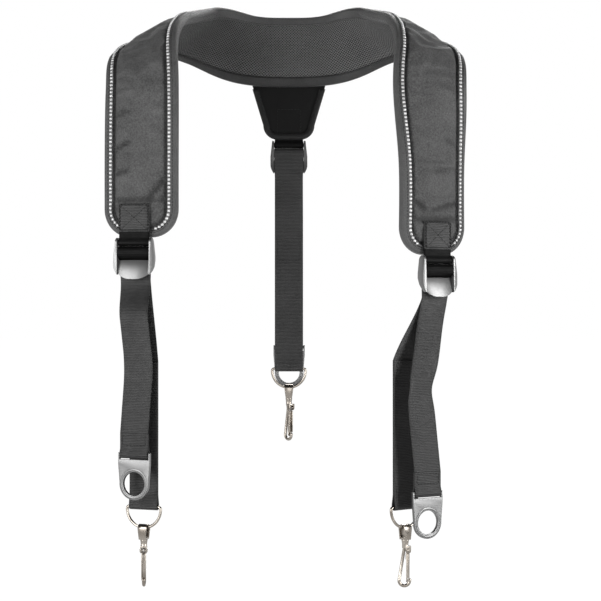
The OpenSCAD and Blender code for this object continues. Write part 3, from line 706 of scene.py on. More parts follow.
def simulated(points):
    """The shell's grid of points after the cloth has settled over the foam."""
    rows, columns = points.shape[:2]
    faces = grid_faces(rows, columns, wrap_columns=False)
    sheet = mesh_object("shell_cloth", points.reshape(-1, 3), faces, SHELL)
    held = np.maximum(smooth((SEAM_INSET + PIN_ROOM - GRID_INSET) / PIN_FADE), under_patch()).ravel()
    group = sheet.vertex_groups.new(name="held")
    for index, weight in enumerate(held):
        if weight > 0:
            group.add([index], float(weight), "REPLACE")
    cloth = sheet.modifiers.new("cloth", "CLOTH")
    for key, value in SIM_CLOTH.items():
        setattr(cloth.settings, key, value)
    cloth.settings.vertex_group_mass = group.name
    cloth.settings.effector_weights.gravity = 0
    cloth.point_cache.frame_start = 1
    cloth.point_cache.frame_end = SIM_FRAMES
    scene = bpy.context.scene
    for number in range(1, SIM_FRAMES + 1):
        scene.frame_set(number)
    settled = sheet.evaluated_get(bpy.context.evaluated_depsgraph_get()).data
    moved = np.array([v.co for v in settled.vertices]).reshape(points.shape)
    scene.frame_set(1)
    bpy.data.objects.remove(sheet)
    return moved


def padded_shell():
    _, _, out = yoke_axes(GRID_U)
    inner = yoke_point(GRID_U, GRID_W, face_out(GRID_INSET) - SHELL_THICK)
    cover = yoke_point(GRID_U, GRID_W, face_out(GRID_INSET))
    lift = ((simulated(cover) - cover) * out).sum(-1)
    lift = np.clip(lift, -SIM_CAP_IN, SIM_CAP_OUT) * (1 - under_patch())
    cover = cover + lift[..., None] * out
    inner = inner + np.minimum(lift, 0)[..., None] * out
    groove = np.exp(-((GRID_INSET - SEAM_INSET) / SEAM_WIDE) ** 2)
    crease = creases()
    cover = cover + (crease - SEAM_DEEP * groove)[..., None] * out
    # Painted shade marks: the seam grooves and the creases, to be darkened in the shell's colour
    fold_shade = np.clip(np.maximum(groove, -crease / CREASE_DARK), 0, 1)
    piece = layer("yoke_shell", inner - SHELL_SINK * out, cover, SHELL, fold_shade)
    return dress(piece, "yoke", "shell_fabric", "outer_shell", "foam_core")


LINING_PUFF = 0.5 * MM


def lining():
    puff = LINING_PUFF * np.sin(math.pi * np.clip((GRID_INSET - BINDING_IN) / EDGE_ROLL, 0, 1))
    low = yoke_point(GRID_U, GRID_W, face_in(GRID_INSET) - puff)
    high = yoke_point(GRID_U, GRID_W, face_in(GRID_INSET) + LINING_THICK)
    piece = layer("yoke_lining", low, high, MESH)
    return dress(piece, "yoke", "spacer_mesh", "mesh_lining")


# Points along the binding's outer leg, its nose and its inner leg, and its nose's shape
OUT_STEPS = 5
NOSE_STEPS = 9
IN_STEPS = 6
NOSE_SQUARE = 0.8
NOSE_START = 0.5 * MM
LEG_START = 0.7 * MM


def binding_section():
    """The folded binding's section, as pairs of inset and height, outside first and then inside."""
    g, t = BINDING_GAP, BINDING_THICK
    top, foot = face_out(0.0) + g + t, face_in(0.0) - g - t
    middle, high = (top + foot) / 2, (top - foot) / 2
    out_leg = np.linspace(BINDING_OUT, LEG_START, OUT_STEPS)
    in_leg = np.linspace(LEG_START, BINDING_IN, IN_STEPS)
    turn = np.linspace(math.pi / 2, -math.pi / 2, NOSE_STEPS + 2)[1:-1]

    def nose(turn, less):
        reach = NOSE_START + g + t - less
        return [(NOSE_START - reach * math.cos(a) ** NOSE_SQUARE, middle + (high - less) * math.sin(a))
                for a in turn]

    outside = [(i, face_out(i) + g + t) for i in out_leg] + nose(turn, 0)
    outside += [(i, face_in(i) - g - t) for i in in_leg]
    inside = [(i, face_in(i) - g) for i in in_leg[::-1]] + nose(-turn, t)
    inside += [(i, face_out(i) + g) for i in out_leg[::-1]]
    return outside + inside


def edge_loop(inset, height):
    """Points of the band's edge line at an inset and height, all the way round."""
    u, half = outline(inset)
    return np.concatenate([yoke_point(u, half, height), yoke_point(u[::-1], -half[::-1], height)])


def edge_normals(inset):
    u, _ = outline(inset)
    _, _, out = yoke_axes(u)
    return np.concatenate([out, out[::-1]])


# The binding takes a darker copy of its cloth below the nape, on the lower half of its nose and on its inner
# leg, as painted shade
NAPE_HALF = 150 * MM
SHADED_COLUMNS = range(OUT_STEPS + NOSE_STEPS // 2, OUT_STEPS + NOSE_STEPS + IN_STEPS)
BINDING_SEAMS = ((3.2 * MM, face_out, 1), (7.4 * MM, face_in, -1))


def edge_binding():
    section = binding_section()
    rings = np.stack([edge_loop(inset, height) for inset, height in section], axis=1)
    rows, columns = rings.shape[:2]
    uvs = strip_uvs(path_lengths(np.array(section)), path_lengths(edge_loop(0.0, PAD_THICK / 2)))
    piece = mesh_object("yoke_binding", *round_tube(rings), BINDING, uvs)
    piece.data.materials.append(SHADED_BINDING)
    # Painted shade: faces below the nape on the nose's lower half and on the inner leg take the darker
    # binding
    below_nape = (np.arange(rows) > rows / 2) & (np.abs(rings[:, 0, 0]) < NAPE_HALF)
    for face in piece.data.polygons:
        row, column = divmod(face.vertices[0], columns)
        face.material_index = int(below_nape[row] and column in SHADED_COLUMNS)
    dress(outward(piece), "yoke", "binding", "edge_binding")
    seams = []
    for inset, face, sign in BINDING_SEAMS:
        height = face(inset) + sign * (BINDING_GAP + BINDING_THICK)
        seams += stitch_line(edge_loop(inset, height), sign * edge_normals(inset))
    stitches("binding_stitches", seams, "yoke")


PIPING_MID = BINDING_OUT + LAYER_GAP + PIPING_HALF
# Rows left out at the right and the left end of the outer strip and the inner one, beside the anchor patches
PIPING_SKIP = {-1: (4, 3), 1: (1, 2)}
PIPING_SIDES = 12
BEAD_PITCH = 4 * MM
BEAD_LONG = 2.6 * MM
BEAD_WIDE = 2.9 * MM
BEAD_HIGH = 1.5 * MM
BEAD_TURNS = 12
BEAD_LEVELS = (-0.35, 0.2, 0.55, 0.8, 0.95)
PIPING_RISE = 0.36 * PIPING_HIGH
PIPING_SWELL = 0.4 * PIPING_HIGH
BEAD_SEAT = 0.5 * PIPING_HIGH
SEAM_SEAT = 0.75 * SEAM_DEEP


def beside_edge(side, inset):
    first, last = PIPING_SKIP[side]
    return (x[first:-last] for x in outline(inset))


def piping_line(side):
    u, half = beside_edge(side, PIPING_MID)
    _, across, out = yoke_axes(u)
    points = yoke_point(u, side * half, face_out(PIPING_MID) + LAYER_GAP)
    return points, side * across, out


def bead(middle, along, across, out):
    """A rounded square dome that stands for one printed dot."""
    turn = full_turn(BEAD_TURNS)
    x, y = (np.sign(f(turn)) * np.abs(f(turn)) ** 0.3 for f in (np.cos, np.sin))
    square = BEAD_LONG / 2 * x[:, None] * along + BEAD_WIDE / 2 * y[:, None] * across
    sizes = [(1 - max(level, 0) ** 2.5) ** 0.4 for level in BEAD_LEVELS]
    return tube([middle + level * BEAD_HIGH * out + size * square for level, size in zip(BEAD_LEVELS, sizes)])


def reflective_piping():
    base, beads, seam = [], [], []
    for side in (-1, 1):
        points, across, out = piping_line(side)
        bow = circle(PIPING_HALF * across[:, None], PIPING_SWELL * out[:, None], PIPING_SIDES)
        base.append(tube((points + PIPING_RISE * out)[:, None] + bow))
        length = path_lengths(points)
        places = np.arange(BEAD_PITCH, length[-1] - BEAD_PITCH, BEAD_PITCH)
        ups = unit(at_lengths(places, length, out))
        ways = square_to(at_lengths(places, length, across), ups)
        middles = at_lengths(places, length, points) + BEAD_SEAT * ups
        beads += [bead(*each) for each in zip(middles, np.cross(ways, ups), ways, ups)]
        u, half = beside_edge(side, SEAM_INSET)
        seam += stitch_line(yoke_point(u, side * half, face_out(SEAM_INSET) - SEAM_SEAT), yoke_axes(u)[2])
    strip = outward(mesh_object("piping_strip", *joined(base), PIPING))
    dots = outward(mesh_object("piping_dots", *joined(beads), SILVER))
    dress(strip, "yoke", "binding", "reflective_piping")
    dress(dots, "yoke", "reflective")
    stitches("seam_stitches", seam, "yoke")


# The back tab, in its own plane across X and Z
TAB_IN = max(PAD_THICK + WEB_CLEAR, face_out(PIPING_MID) + PIPING_HIGH + 2 * LAYER_GAP)
TAB_OUT = TAB_IN + TAB_THICK
TAB_HEAD = TAB_LAP - PAD_HALF
TAB_FOOT = -PAD_HALF - TAB_REACH
TAB_ARC = 15
TAB_CROWN = 0.9 * MM
TAB_EDGE = 1.2 * MM
TAB_SEAM = 1.2 * MM
TAB_SEWN = 4 * MM
TRIM_ROUND = 0.6
SLAB_CORE = 0.97
SLAB_EDGE_RINGS = 5
SLAB_FACE_RINGS = 9


def tab_outline(grow):
    """The tab's sides and round end, from its upper left corner round to its upper right one."""
    r = TAB_ROUND + grow
    turn = np.linspace(0, math.pi / 2, TAB_ARC)
    centre = (TAB_LOW / 2 - TAB_ROUND, TAB_FOOT + TAB_ROUND)
    arc = np.stack([r * np.cos(turn), -r * np.sin(turn)], axis=1) + centre
    side = np.linspace((TAB_TOP / 2 + grow, TAB_HEAD), arc[0], 20)[:-1]
    right_side = np.concatenate([side, arc])
    floor_line = np.linspace(arc[-1], arc[-1] * (-1, 1), 12)[1:-1]
    return np.concatenate([right_side, floor_line, right_side[::-1] * (-1, 1)])


def slab(name, line, low, high, edge, material):
    """A closed plate inside a convex outline, with rounded edges; low and high are functions of x and z."""
    centre = line.mean(0)
    reach = np.linalg.norm(line - centre, axis=1).mean()
    round_edge = np.linspace(0, edge, SLAB_EDGE_RINGS)[:-1]
    steps = np.concatenate([round_edge, np.linspace(edge, SLAB_CORE * reach, SLAB_FACE_RINGS)])
    rings = []
    for face, sign, order in ((low, 1, steps[::-1]), (high, -1, steps)):
        for inset in order:
            flat = centre + (line - centre) * (1 - inset / reach)
            dip = edge * (1 - math.sqrt(max(0, 1 - max(0, 1 - inset / edge) ** 2)))
            rings.append(upright(flat, face(*flat.T) + sign * dip))
    count = len(line)
    points = np.concatenate(rings)
    ends = [tuple(range(count)), tuple(range(len(points) - count, len(points)))]
    faces = grid_faces(len(rings), count) + ends
    return outward(mesh_object(name, points, faces, material, points[:, (0, 2)]))


def back_tab():
    g, t = LAYER_GAP, BINDING_THICK

    def puffed(x, z):
        across = smooth((TAB_LOW / 2 - np.abs(x)) / TAB_LOW * 2)
        return TAB_OUT + TAB_CROWN * across * smooth((z - TAB_FOOT) / TAB_REACH * 3)

    panel = slab("tab_panel", tab_outline(0), lambda x, z: TAB_IN, puffed, TAB_EDGE, TAB)
    dress(panel, "yoke", "tab_fabric", "back_tab")
    bend = TRIM_ROUND * t
    leg = [(TAB_BINDING, g), (TAB_BINDING, g + t), (t, g + t), (-bend, bend), (-g - t, -t)]
    legs = [(inset, TAB_OUT + height) for inset, height in leg]
    legs += [(inset, TAB_IN - height) for inset, height in leg[::-1]]
    legs += [(-g, TAB_IN - g), (-g, TAB_OUT + g)]
    below = tab_outline(0)[:, 1] < -PAD_HALF - t
    rings = np.stack([upright(tab_outline(-inset)[below], height) for inset, height in legs], axis=1)
    uvs = strip_uvs(path_lengths(np.array(legs)), path_lengths(rings[:, 0]))
    trim = mesh_object("tab_binding", *tube(rings), TAB_TRIM, uvs)
    dress(outward(trim), "yoke", "binding", "back_tab_binding")
    rows = []
    for height, up in ((TAB_OUT + g + t, 1), (TAB_IN - g - t, -1)):
        seam = upright(tab_outline(TAB_SEAM - TAB_BINDING)[below], height)
        rows += stitch_line(seam, np.tile((0, up, 0), (len(seam), 1)))
    box = sewn_box(TAB_FOOT + TAB_SEWN, TAB_FOOT + TAB_SEWN + ANCHOR_PATCH)
    rows += straight_stitches(upright(box[:5], TAB_IN), (0, -1, 0))
    stitches("tab_stitches", rows, "yoke")


# Webbing: a ribbon with round selvedges and ribs across it
RIB_PITCH = 1.6 * MM
RIB_ROWS = 4
RIB_HIGH = 0.07 * MM
WEB_COLUMNS = 7
BOX_INSET = 3 * MM
LOOP_HALF = (WEB_THICK + WEB_GAP) / 2


def web_section():
    """The ribbon's section, as pairs from -1 to 1 across and through it, in units of half its size."""
    r = WEB_THICK / 2 / WEB_HALF
    flat = np.linspace(r - 1, 1 - r, WEB_COLUMNS)
    turn = np.linspace(math.pi / 2, -math.pi / 2, 5)[1:-1]
    right_edge = [(1 - r + r * math.cos(a), math.sin(a)) for a in turn]
    left_edge = [(-x, -y) for x, y in right_edge]
    return np.array([(x, 1) for x in flat] + right_edge + [(x, -1) for x in flat[::-1]] + left_edge)


def resampled(points, extra, step):
    """A line of points, with values that go along, at an even step."""
    length = path_lengths(points)
    places = np.linspace(0, length[-1], max(2, int(round(length[-1] / step)) + 1))
    return at_lengths(places, length, points), at_lengths(places, length, extra), places


def ribbon(name, points, sides, place, material=WEBBING, painted_shade=None):
    """Webbing along points, set in its place. Each side goes across it, and is longer where it is spread.
    Its last argument, from 0 to 1 at each point, tells where the webbing takes a darker, duller copy of its
    cloth as painted shade."""
    painted_shade = np.zeros(len(points)) if painted_shade is None else painted_shade
    extra = np.concatenate([sides, painted_shade[:, None]], axis=1)
    points, extra, length = resampled(np.asarray(points), extra, RIB_PITCH / RIB_ROWS)
    sides, painted_shade = extra[:, :3], extra[:, 3]
    along = unit(np.gradient(points, axis=0))
    faces_out = unit(np.cross(along, sides))
    section = web_section()
    rib = RIB_HIGH * np.cos(2 * math.pi * length / RIB_PITCH)
    across = WEB_HALF * section[None, :, 0, None] * sides[:, None]
    through = (WEB_THICK / 2 + rib[:, None] - RIB_HIGH) * section[None, :, 1]
    rings = points[:, None] + across + through[..., None] * faces_out[:, None]
    uvs = strip_uvs(WEB_HALF * section[:, 0], length)
    piece = outward(mesh_object(name, *tube(placed(rings, place)), material, uvs))
    piece.data.materials.append(SHADE_WEBBING)
    for face in piece.data.polygons:
        face.material_index = int(painted_shade[face.vertices[0] // len(section)] > 0.5)
    return piece


def folded(bar_r, height, blend):
    """The line of webbing that goes up from both sides of a bar at the origin, in its own Y and Z."""
    r = bar_r + WEB_CLEAR + WEB_THICK / 2
    up = np.linspace(0, 1, 12)[1:]
    neck = [(LOOP_HALF + (r - LOOP_HALF) * float(smooth(1 - f)), f * blend) for f in up]
    turn = [(r * math.cos(a), -r * math.sin(a)) for a in np.linspace(0, math.pi, 19)]
    leg = [(LOOP_HALF, z) for z in np.linspace(height, blend, 20)[:-1]]
    line = leg + neck[::-1] + turn + [(-y, z) for y, z in neck + leg[::-1]]
    return np.array([(0, y, z) for y, z in line])


def straight_across(line):
    return np.tile((1.0, 0, 0), (len(line), 1))


def sewn_box(low, high, inset=BOX_INSET):
    """Corners of a stitched box with a cross in it, across X and Z."""
    x = WEB_HALF - inset
    a, b, c, d = (-x, low), (x, low), (x, high), (-x, high)
    return [a, b, c, d, a, c, d, b]


# Where each strap hangs: its adjuster's place and turn, and the places of its D-ring and pull ring
STACK_HALF = WEB_THICK + WEB_GAP / 2
BAR_STAND = WEB_CLEAR + STACK_HALF
TURN_R = LOCK_BAR_R + WEB_GAP / 2 + WEB_THICK / 2
LOAD_Y = LOCK_FORE - TURN_R
TAIL_Y = LOAD_Y + WEB_THICK + WEB_GAP
TURN_END = math.radians(60)
TURN_OUT = (LOCK_FORE + TURN_R * math.cos(TURN_END) - TAIL_Y) / math.sin(TURN_END)
TAIL_Z = -LOCK_DROP - TURN_R * math.sin(TURN_END) - TURN_OUT * math.cos(TURN_END)
TAIL_START = 3 * MM
TONGUE_TOP = 0.5 * MM - TAIL_Z
LOCK_FOOT = TONGUE_TOP + TONGUE_LENGTH


def spot(point, turn):
    """A place at a point, turned about the vertical by some degrees."""
    return Matrix.Translation(Vector(point)) @ Matrix.Rotation(math.radians(turn), 4, "Z")


def strap_facts(bar, turn, hang, drift, twist, tail_drift, tail_twist, kink, bow):
    """Places of one strap, from angles in degrees and lengths in millimetres. The tail's kink is its place
    across, its drop and its turn, and the bow is how far down the tail comes forward."""
    lock = spot(bar, turn)
    ring_spot = np.array((drift * MM, LOAD_Y + LOOP_HALF, -hang * MM))
    pull_spot = np.array((tail_drift * MM, PULL_STAND, hang * MM - STRAP_SUM))
    return {"lock": lock, "ring_spot": ring_spot, "pull_spot": pull_spot, "twist": math.radians(twist),
            "tail_twist": math.radians(tail_twist), "kink": kink, "bow": bow * MM,
            "ring": lock @ spot(ring_spot, twist), "pull": lock @ spot(pull_spot, tail_twist)}


def front_bar(u, side):
    return yoke_point(u, -ANCHOR_OUT[side], PAD_THICK + BAR_STAND) - (0, 0, BAR_DROP)


STRAPS = {
    "right": strap_facts(front_bar(0, "right"), turn=168, hang=270, drift=-9, twist=-9, tail_drift=-5,
                         tail_twist=-10, kink=(-10, 126, 2), bow=39),
    "left": strap_facts(front_bar(LAST, "left"), turn=211, hang=250, drift=37, twist=8, tail_drift=23,
                        tail_twist=0, kink=(33, 130, 12), bow=90),
    "back": strap_facts((0, TAB_OUT + BAR_STAND, TAB_FOOT - BAR_DROP), turn=0, hang=255, drift=0, twist=0,
                        tail_drift=0, tail_twist=0, kink=(0, 130, 0), bow=55)}


def turned(vector, angle):
    c, s = math.cos(angle), math.sin(angle)
    return np.array((vector[0] * c - vector[1] * s, vector[0] * s + vector[1] * c, vector[2]))


def across_at(angles):
    return np.stack([np.cos(angles), np.sin(angles), 0 * angles], axis=1)


def sew(name, body, place, seams):
    """Sews two layers of webbing. Each seam has corners, a side of the layers and a thread's radius."""
    up = turned((0, 1, 0), place.to_euler().z)
    rows = []
    for corners, sign, radius in seams:
        rows += straight_stitches(placed(upright(corners, sign * STACK_HALF), place), sign * up, radius)
    stitches(name, rows, body)


# Webbing spreads a little where it is pressed flat in the adjuster
LOCK_SPREAD = 0.05
PATCH_FOOT = BAR_DROP + 4 * MM
PATCH_SEWN = 2 * MM
# Insets of the patch's two sewn boxes, with the corners that the thread goes by: a box, and one with a cross.
# Both outlines, sewn side by side in thicker dark thread, are real stitching that also stands in for the
# shadow gap round the patch, as painted shadow
PATCH_SEAMS = ((0.5 * MM, 5), (1.4 * MM, 8))


def anchor_webbing(name, facts):
    top = PATCH_FOOT + ANCHOR_PATCH
    line = folded(TOP_BAR_R, top, BAR_DROP - BINDING_THICK - LAYER_GAP - WEB_CLEAR)
    sides = straight_across(line) * (1 + LOCK_SPREAD * smooth(1 - line[:, 2:] / BAR_DROP))
    # Painted shade on the fold round the top bar, below the patch
    painted_shade = (line[:, 2] < PATCH_FOOT).astype(float)
    piece = ribbon(name + "_anchor", line, sides, facts["lock"], PATCH, painted_shade)
    dress(piece, "yoke", "webbing", name + "_anchor_webbing")
    seams = []
    for inset, last in PATCH_SEAMS:
        box = sewn_box(PATCH_FOOT + PATCH_SEWN, top - inset, inset)[:last]
        seams += [(box[:5], 1, PATCH_SHADOW_THREAD_R), (box[4:], 1, THREAD_R)]
    sew(name + "_anchor_stitches", "yoke", facts["lock"], seams)


RUN_STEPS = 40
RUN_GAP = 0.02 * MM
TURN_LOOSE = 0.65 * MM
LEAN_SMOOTH = 0.3


def load_run(name, facts):
    top = facts["ring_spot"] + (0, 0, LOOP_LENGTH + RUN_GAP) + turned((0, -LOOP_HALF, 0), facts["twist"])
    low = np.array((0, LOAD_Y, -LOCK_FOOT))
    f = np.linspace(0, 1, RUN_STEPS)
    lean = LEAN_SMOOTH * smooth(f) + (1 - LEAN_SMOOTH) * f
    rise = top + (low - top) * np.stack([lean, smooth(f), f], axis=1)
    bend = np.linspace(math.pi, -TURN_END, 24)
    loose = TURN_R + TURN_LOOSE * np.maximum(0, np.sin(bend))
    round_bar = np.stack([0 * bend, loose * np.cos(bend), loose * np.sin(bend)], axis=1)
    points = np.concatenate([rise, round_bar + (0, LOCK_FORE, -LOCK_DROP),
                             [(0, TAIL_Y, TAIL_Z), (0, TAIL_Y, TAIL_Z - TAIL_START)]])
    turns = np.concatenate([facts["twist"] * (1 - smooth(f)), np.zeros(len(points) - RUN_STEPS)])
    spread = 1 + LOCK_SPREAD * smooth((points[:, 2:] + LOCK_FOOT) / TONGUE_LENGTH)
    # Painted shade on the turn round the locking bar, above the tongue, except on the back strap
    painted_shade = ((points[:, 2] > -TONGUE_TOP) & (name != "back")).astype(float)
    piece = ribbon(name + "_load_run", points, across_at(turns) * spread, facts["lock"], WEBBING, painted_shade)
    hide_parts(name + "_strap")
    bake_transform(piece)


TAIL_STEPS = 90
KINK_BLEND = 14 * MM


def free_tail(name, facts):
    """The tail leaves the adjuster at a slant, kinks once and goes on to its hem."""
    start = np.array((0, TAIL_Y, TAIL_Z - TAIL_START))
    end = facts["pull_spot"] + (0, 0, HEM_LENGTH) + turned((0, LOOP_HALF, 0), facts["tail_twist"])
    kink_x, kink_drop, kink_turn = facts["kink"]
    f = np.linspace(0, 1, TAIL_STEPS)
    z = start[2] + (end[2] - start[2]) * f
    bow = smooth((-LOCK_FOOT - z) / facts["bow"])
    knots = np.array([(end[2], end[0]), (-kink_drop * MM, kink_x * MM), (-LOCK_FOOT, 0), (start[2], 0)])
    spread = np.linspace(-1, 1, 15)[:, None] * np.minimum(KINK_BLEND, np.minimum(start[2] - z, z - end[2]))
    x = np.interp(z + spread, knots[:, 0], knots[:, 1]).mean(0)
    points = np.stack([x, start[1] + (end[1] - start[1]) * bow, z], axis=1)
    bent = math.radians(kink_turn) * np.exp(-((z + kink_drop * MM) / KINK_BLEND) ** 2)
    piece = ribbon(name + "_free_tail", points, across_at(facts["tail_twist"] * bow + bent), facts["lock"])
    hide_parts(name + "_tail")
    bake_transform(piece)


def fold_with_stitches(name, node, body, place, bar_r, height, blend, low, high):
    """A fold round a bar, stitched through by a box from low to high."""
    line = folded(bar_r, height, blend)
    dress(ribbon(name, line, straight_across(line), place), body, "webbing", node)
    box = sewn_box(low, high)[:5]
    sew(name + "_stitches", body, place, [(box, -1, THREAD_R), (box, 1, THREAD_R)])


# Plastic pieces
def rod(a, b, radius, sides=24):
    """A round bar with slightly rounded ends."""
    a, b = np.asarray(a, float), np.asarray(b, float)
    along = unit(b - a)
    side = unit(np.cross(along, (0.3, 0.5, 0.8)))
    ring = circle(side, np.cross(along, side), sides)
    soft = 0.2 * radius
    return tube([a + (radius - soft) * ring, a + soft * along + radius * ring,
                 b - soft * along + radius * ring, b + (radius - soft) * ring])


def wire(points, radius, sides=20):
    """A round wire, bent across X and Z."""
    along = unit(np.gradient(points, axis=0))
    side = np.cross(along, (0, 1.0, 0))
    return tube(points[:, None] + radius * circle(side[:, None], (0, 1.0, 0), sides))


def plate(lines, thick, edge):
    """A flat plate with rounded edges, drawn in X and Z by its outline and the outlines of its holes."""
    drawing = bpy.data.curves.new("drawing", "CURVE")
    drawing.dimensions = "2D"
    drawing.fill_mode = "BOTH"
    drawing.extrude = thick / 2 - edge
    drawing.bevel_depth = edge
    drawing.bevel_resolution = 3
    drawing.offset = -edge
    for line in lines:
        spline = drawing.splines.new("POLY")
        spline.points.add(len(line) - 1)
        spline.use_cyclic_u = True
        for point, (x, z) in zip(spline.points, line):
            point.co = (x, z, 0, 1)
    holder = new_object("drawing", drawing)
    flat = bpy.data.meshes.new_from_object(holder.evaluated_get(bpy.context.evaluated_depsgraph_get()))
    points = np.array([v.co for v in flat.vertices])[:, (0, 2, 1)] * (1, -1, 1)
    faces = [tuple(f.vertices) for f in flat.polygons]
    bpy.data.objects.remove(holder)
    return points, faces


def arc_points(centre, radius, start, end, count):
    return [(centre[0] + radius * math.cos(a), centre[1] + radius * math.sin(a))
            for a in np.radians(np.linspace(start, end, count))]


def ring_shape(radius, thick, sides=16, turns=64):
    """A round ring about Y."""
    spokes = circle((1, 0, 0), (0, 0, 1), turns)[:, None]
    return round_tube(radius * spokes + thick * circle(spokes, (0, 1, 0), sides))


PULL_TOP = 2.4 * MM
PULL_SHOULDER = -9 * MM
PULL_EDGE = 0.5 * MM
PULL_ROOM = 0.5 * MM
FINGER_BEAD = 2.2 * MM
PULL_SHARP = math.radians(40)


def pull_ring(name, facts):
    slot_half = WEB_HALF + PULL_ROOM
    slot_foot = -PULL_SLOT - PULL_BAR_R
    line = [(-PULL_HALF, PULL_TOP), (-PULL_HALF, PULL_SHOULDER)]
    line += arc_points((0, -FINGER_DROP), PULL_ROUND, 175, 365, 48)
    line += [(PULL_HALF, PULL_SHOULDER), (PULL_HALF, PULL_TOP), (slot_half, PULL_TOP), (slot_half, slot_foot),
             (-slot_half, slot_foot), (-slot_half, PULL_TOP)]
    hole = arc_points((0, -FINGER_DROP), FINGER_R, 0, 352.5, 48)
    ring_points, ring_faces = ring_shape((FINGER_R + PULL_ROUND) / 2, FINGER_BEAD)
    bar_half = slot_half + PULL_ROOM
    points, faces = joined([plate([line, hole], PULL_THICK, PULL_EDGE),
                            (ring_points - (0, 0, FINGER_DROP), ring_faces),
                            rod((-bar_half, 0, 0), (bar_half, 0, 0), PULL_BAR_R)])
    piece = outward(mesh_object(name + "_pull", placed(points, facts["pull"]), faces, PLASTIC), weld=True)
    piece.data.set_sharp_from_angle(angle=PULL_SHARP)
    dress(piece, name + "_pull", "plastic", name + "_pull_ring")


# Metal pieces
def d_ring(name, facts):
    half = RING_BOW - RING_CORNER
    line = [(x, 0) for x in np.linspace(0, half, 6)[:-1]]
    line += arc_points((half, -RING_CORNER), RING_CORNER, 90, 0, 10)
    line += arc_points((0, -RING_CORNER), RING_BOW, 0, -180, 60)[1:-1]
    line += arc_points((-half, -RING_CORNER), RING_CORNER, 180, 90, 10)
    line += [(x, 0) for x in np.linspace(-half, 0, 6)[1:]]
    points, faces = wire(upright(line, 0), RING_WIRE_R)
    piece = outward(mesh_object(name + "_ring_wire", placed(points, facts["ring"]), faces, NICKEL))
    dress(piece, name + "_ring", "nickel", name + "_d_ring")


# The hooks' turns in degrees, and two corners of the gate's side in a hook's own place
HOOK_TURNS = {"right": -90, "left": 0, "back": -50}
GATE_SIDE = ((0.95 * MM, 1.55 * MM, -50.8 * MM), (4.3 * MM, 2.35 * MM, -26.3 * MM))


def gate_sides(name, facts):
    """Both sides of the stamped gate's channel, beside its leaf and open outward."""
    eye = facts["ring"] @ Vector((0, 0, -RING_BOW - RING_CORNER))
    place = spot(eye, HOOK_TURNS[name])
    (x0, y0, z0), (x1, y1, z1) = GATE_SIDE
    corners = np.array([(x, y, z) for x in (x0, x1) for y in (y0, y1) for z in (z0, z1)])
    faces = [(0, 1, 3, 2), (4, 6, 7, 5), (0, 4, 5, 1), (2, 3, 7, 6), (0, 2, 6, 4), (1, 5, 7, 3)]
    return [(placed(corners * (1, sign, 1), place), [f[::sign] for f in faces]) for sign in (1, -1)]


FLAT = math.radians(0.5)
BEVELLED = math.radians(35)
SHARP = math.radians(50)


def softened(name, node, body, slot, material, width, added=()):
    """A copy of a rigid solid with its edges rounded, and with what is added to it."""
    work = bmesh.new()
    work.from_mesh(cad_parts[node].data)
    for points, faces in added:
        corners = [work.verts.new(point) for point in points]
        for face in faces:
            work.faces.new([corners[i] for i in face])
    bmesh.ops.remove_doubles(work, verts=work.verts, dist=WELD)
    bmesh.ops.dissolve_limit(work, angle_limit=FLAT, verts=work.verts, edges=work.edges)
    sharp = [e for e in work.edges if len(e.link_faces) == 2 and e.calc_face_angle() > BEVELLED]
    bmesh.ops.bevel(work, geom=sharp, offset=width, segments=2, profile=0.5, affect="EDGES",
                    clamp_overlap=True)
    mesh = bpy.data.meshes.new(name)
    work.to_mesh(mesh)
    work.free()
    mesh.shade_smooth()
    mesh.set_sharp_from_angle(angle=SHARP)
    mesh.materials.append(material)
    return dress(new_object(name, mesh), body, slot, node)


# Widths of the rounded edges, and how far up each fold closes
LOCK_EDGE = 0.5 * MM
HOOK_EDGE = 0.25 * MM
PIN_EDGE = 0.15 * MM
GATE_EDGE = 0.2 * MM
LOOP_CLOSE = 14 * MM
HEM_CLOSE = 8 * MM
HEM_BOX = (10 * MM, HEM_LENGTH - 2 * MM)
LOOP_BOX = (LOOP_LENGTH - LOOP_SEWN, LOOP_LENGTH - 3 * MM)

# All pieces, the yoke's first and then each strap's
padded_shell()
lining()
edge_binding()
reflective_piping()
back_tab()
for side, facts in STRAPS.items():
    anchor_webbing(side, facts)
    # The back adjuster takes the less glossy copy of the plastic as painted shade
    softened(side + "_adjuster", side + "_ladder_lock", side + "_buckle", "plastic",
             SHADED_PLASTIC if side == "back" else PLASTIC, LOCK_EDGE)
    load_run(side, facts)
    free_tail(side, facts)
    fold_with_stitches(side + "_end_loop", side + "_ring_loop", side + "_end", facts["ring"], RING_WIRE_R,
                       LOOP_LENGTH, LOOP_CLOSE, *LOOP_BOX)
    fold_with_stitches(side + "_hem", side + "_tail_hem", side + "_hem", facts["pull"], PULL_BAR_R,
                       HEM_LENGTH, HEM_CLOSE, *HEM_BOX)
    pull_ring(side, facts)
    d_ring(side, facts)
    for name, node, body, width, added in (
            ("_swivel_eye", "_hook_eye", "_eye", HOOK_EDGE, ()),
            ("_hook_wire", "_hook_body", "_hook", HOOK_EDGE, ()),
            ("_hook_pin", "_gate_pin", "_hook", PIN_EDGE, ()),
            ("_gate_leaf", "_gate", "_gate", GATE_EDGE, gate_sides(side, facts))):
        softened(side + name, side + node, side + body, "nickel", NICKEL, width, added)
    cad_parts[side + "_gate_spring"].data.materials[0] = STEEL


# Floor, light and camera
FLOOR_BELOW = 20 * MM
FLOOR_HALF = 12.0
LIT_SPOT = (0, -0.15, -0.3)


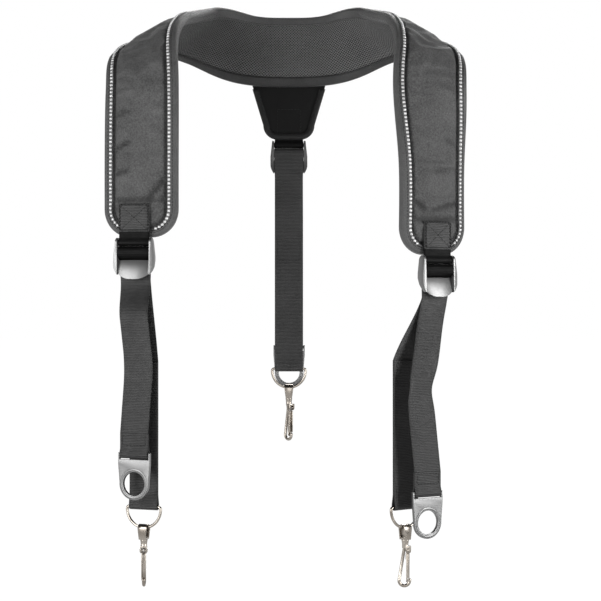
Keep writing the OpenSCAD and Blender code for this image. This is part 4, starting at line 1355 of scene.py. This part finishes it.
def floor():
    made, tree = new_material("floor_white", Roughness=0.9, Specular_IOR_Level=0.0,
                              Emission_Color=(1, 1, 1, 1), Emission_Strength=1.0)
    patchy = noise(tree, object_space(tree), 3.0)
    finished(made, Base_Color=ramp(tree, patchy, 0.04, 0.05))
    z = cad_box[0].z - FLOOR_BELOW
    corners = [(x * FLOOR_HALF, y * FLOOR_HALF, z) for x, y in ((-1, -1), (1, -1), (1, 1), (-1, 1))]
    piece = mesh_object("floor", corners, [(0, 1, 2, 3)], made)


def softbox(name, place, size, power):
    lamp = bpy.data.lights.new(name, "AREA")
    lamp.shape = "RECTANGLE"
    lamp.size, lamp.size_y = size
    lamp.energy = power
    holder = new_object(name, lamp)
    holder.location = place
    holder.rotation_euler = (Vector(LIT_SPOT) - Vector(place)).to_track_quat("-Z", "Y").to_euler()


BACKDROP_TOP = 0.22
CEILING_START = 0.4


def studio():
    world = bpy.data.worlds.new("studio")
    world.use_nodes = True
    tree = world.node_tree
    way = add_node(tree, "ShaderNodeTexCoord").outputs["Generated"]
    height = add_node(tree, "ShaderNodeSeparateXYZ", Vector=way).outputs["Z"]
    backdrop = ramp(tree, height, 1.0, 0.05, BACKDROP_TOP, CEILING_START)
    tree.links.new(backdrop, tree.nodes["Background"].inputs["Color"])
    scene = bpy.context.scene
    scene.world = world
    scene.view_settings.view_transform = "Standard"
    softbox("key", (-0.85, -0.99, -0.25), (0.55, 1.1), 21)
    softbox("fill", (1.05, -0.7, -0.25), (0.36, 1.1), 21)
    softbox("front", (0.06, -1.4, -0.3), (0.5, 0.5), 3)
    softbox("rear", (0.2, 1.5, 0.85), (0.9, 0.6), 20)


CAMERA_PLACE = (31 * MM, -1975 * MM, -281 * MM)
FOCAL_PIXELS = 1747.6
PHOTO_PIXELS = 601
AXIS_PIXEL = 316.1
SENSOR = 36.0


def camera():
    lens = bpy.data.cameras.new("camera")
    lens.sensor_width = SENSOR
    lens.lens = SENSOR * FOCAL_PIXELS / PHOTO_PIXELS
    lens.shift_x = (PHOTO_PIXELS / 2 - AXIS_PIXEL) / PHOTO_PIXELS
    holder = new_object("camera", lens)
    holder.location = CAMERA_PLACE
    holder.rotation_euler = (math.pi / 2, 0, 0)
    bpy.context.scene.camera = holder


floor()
studio()
camera()
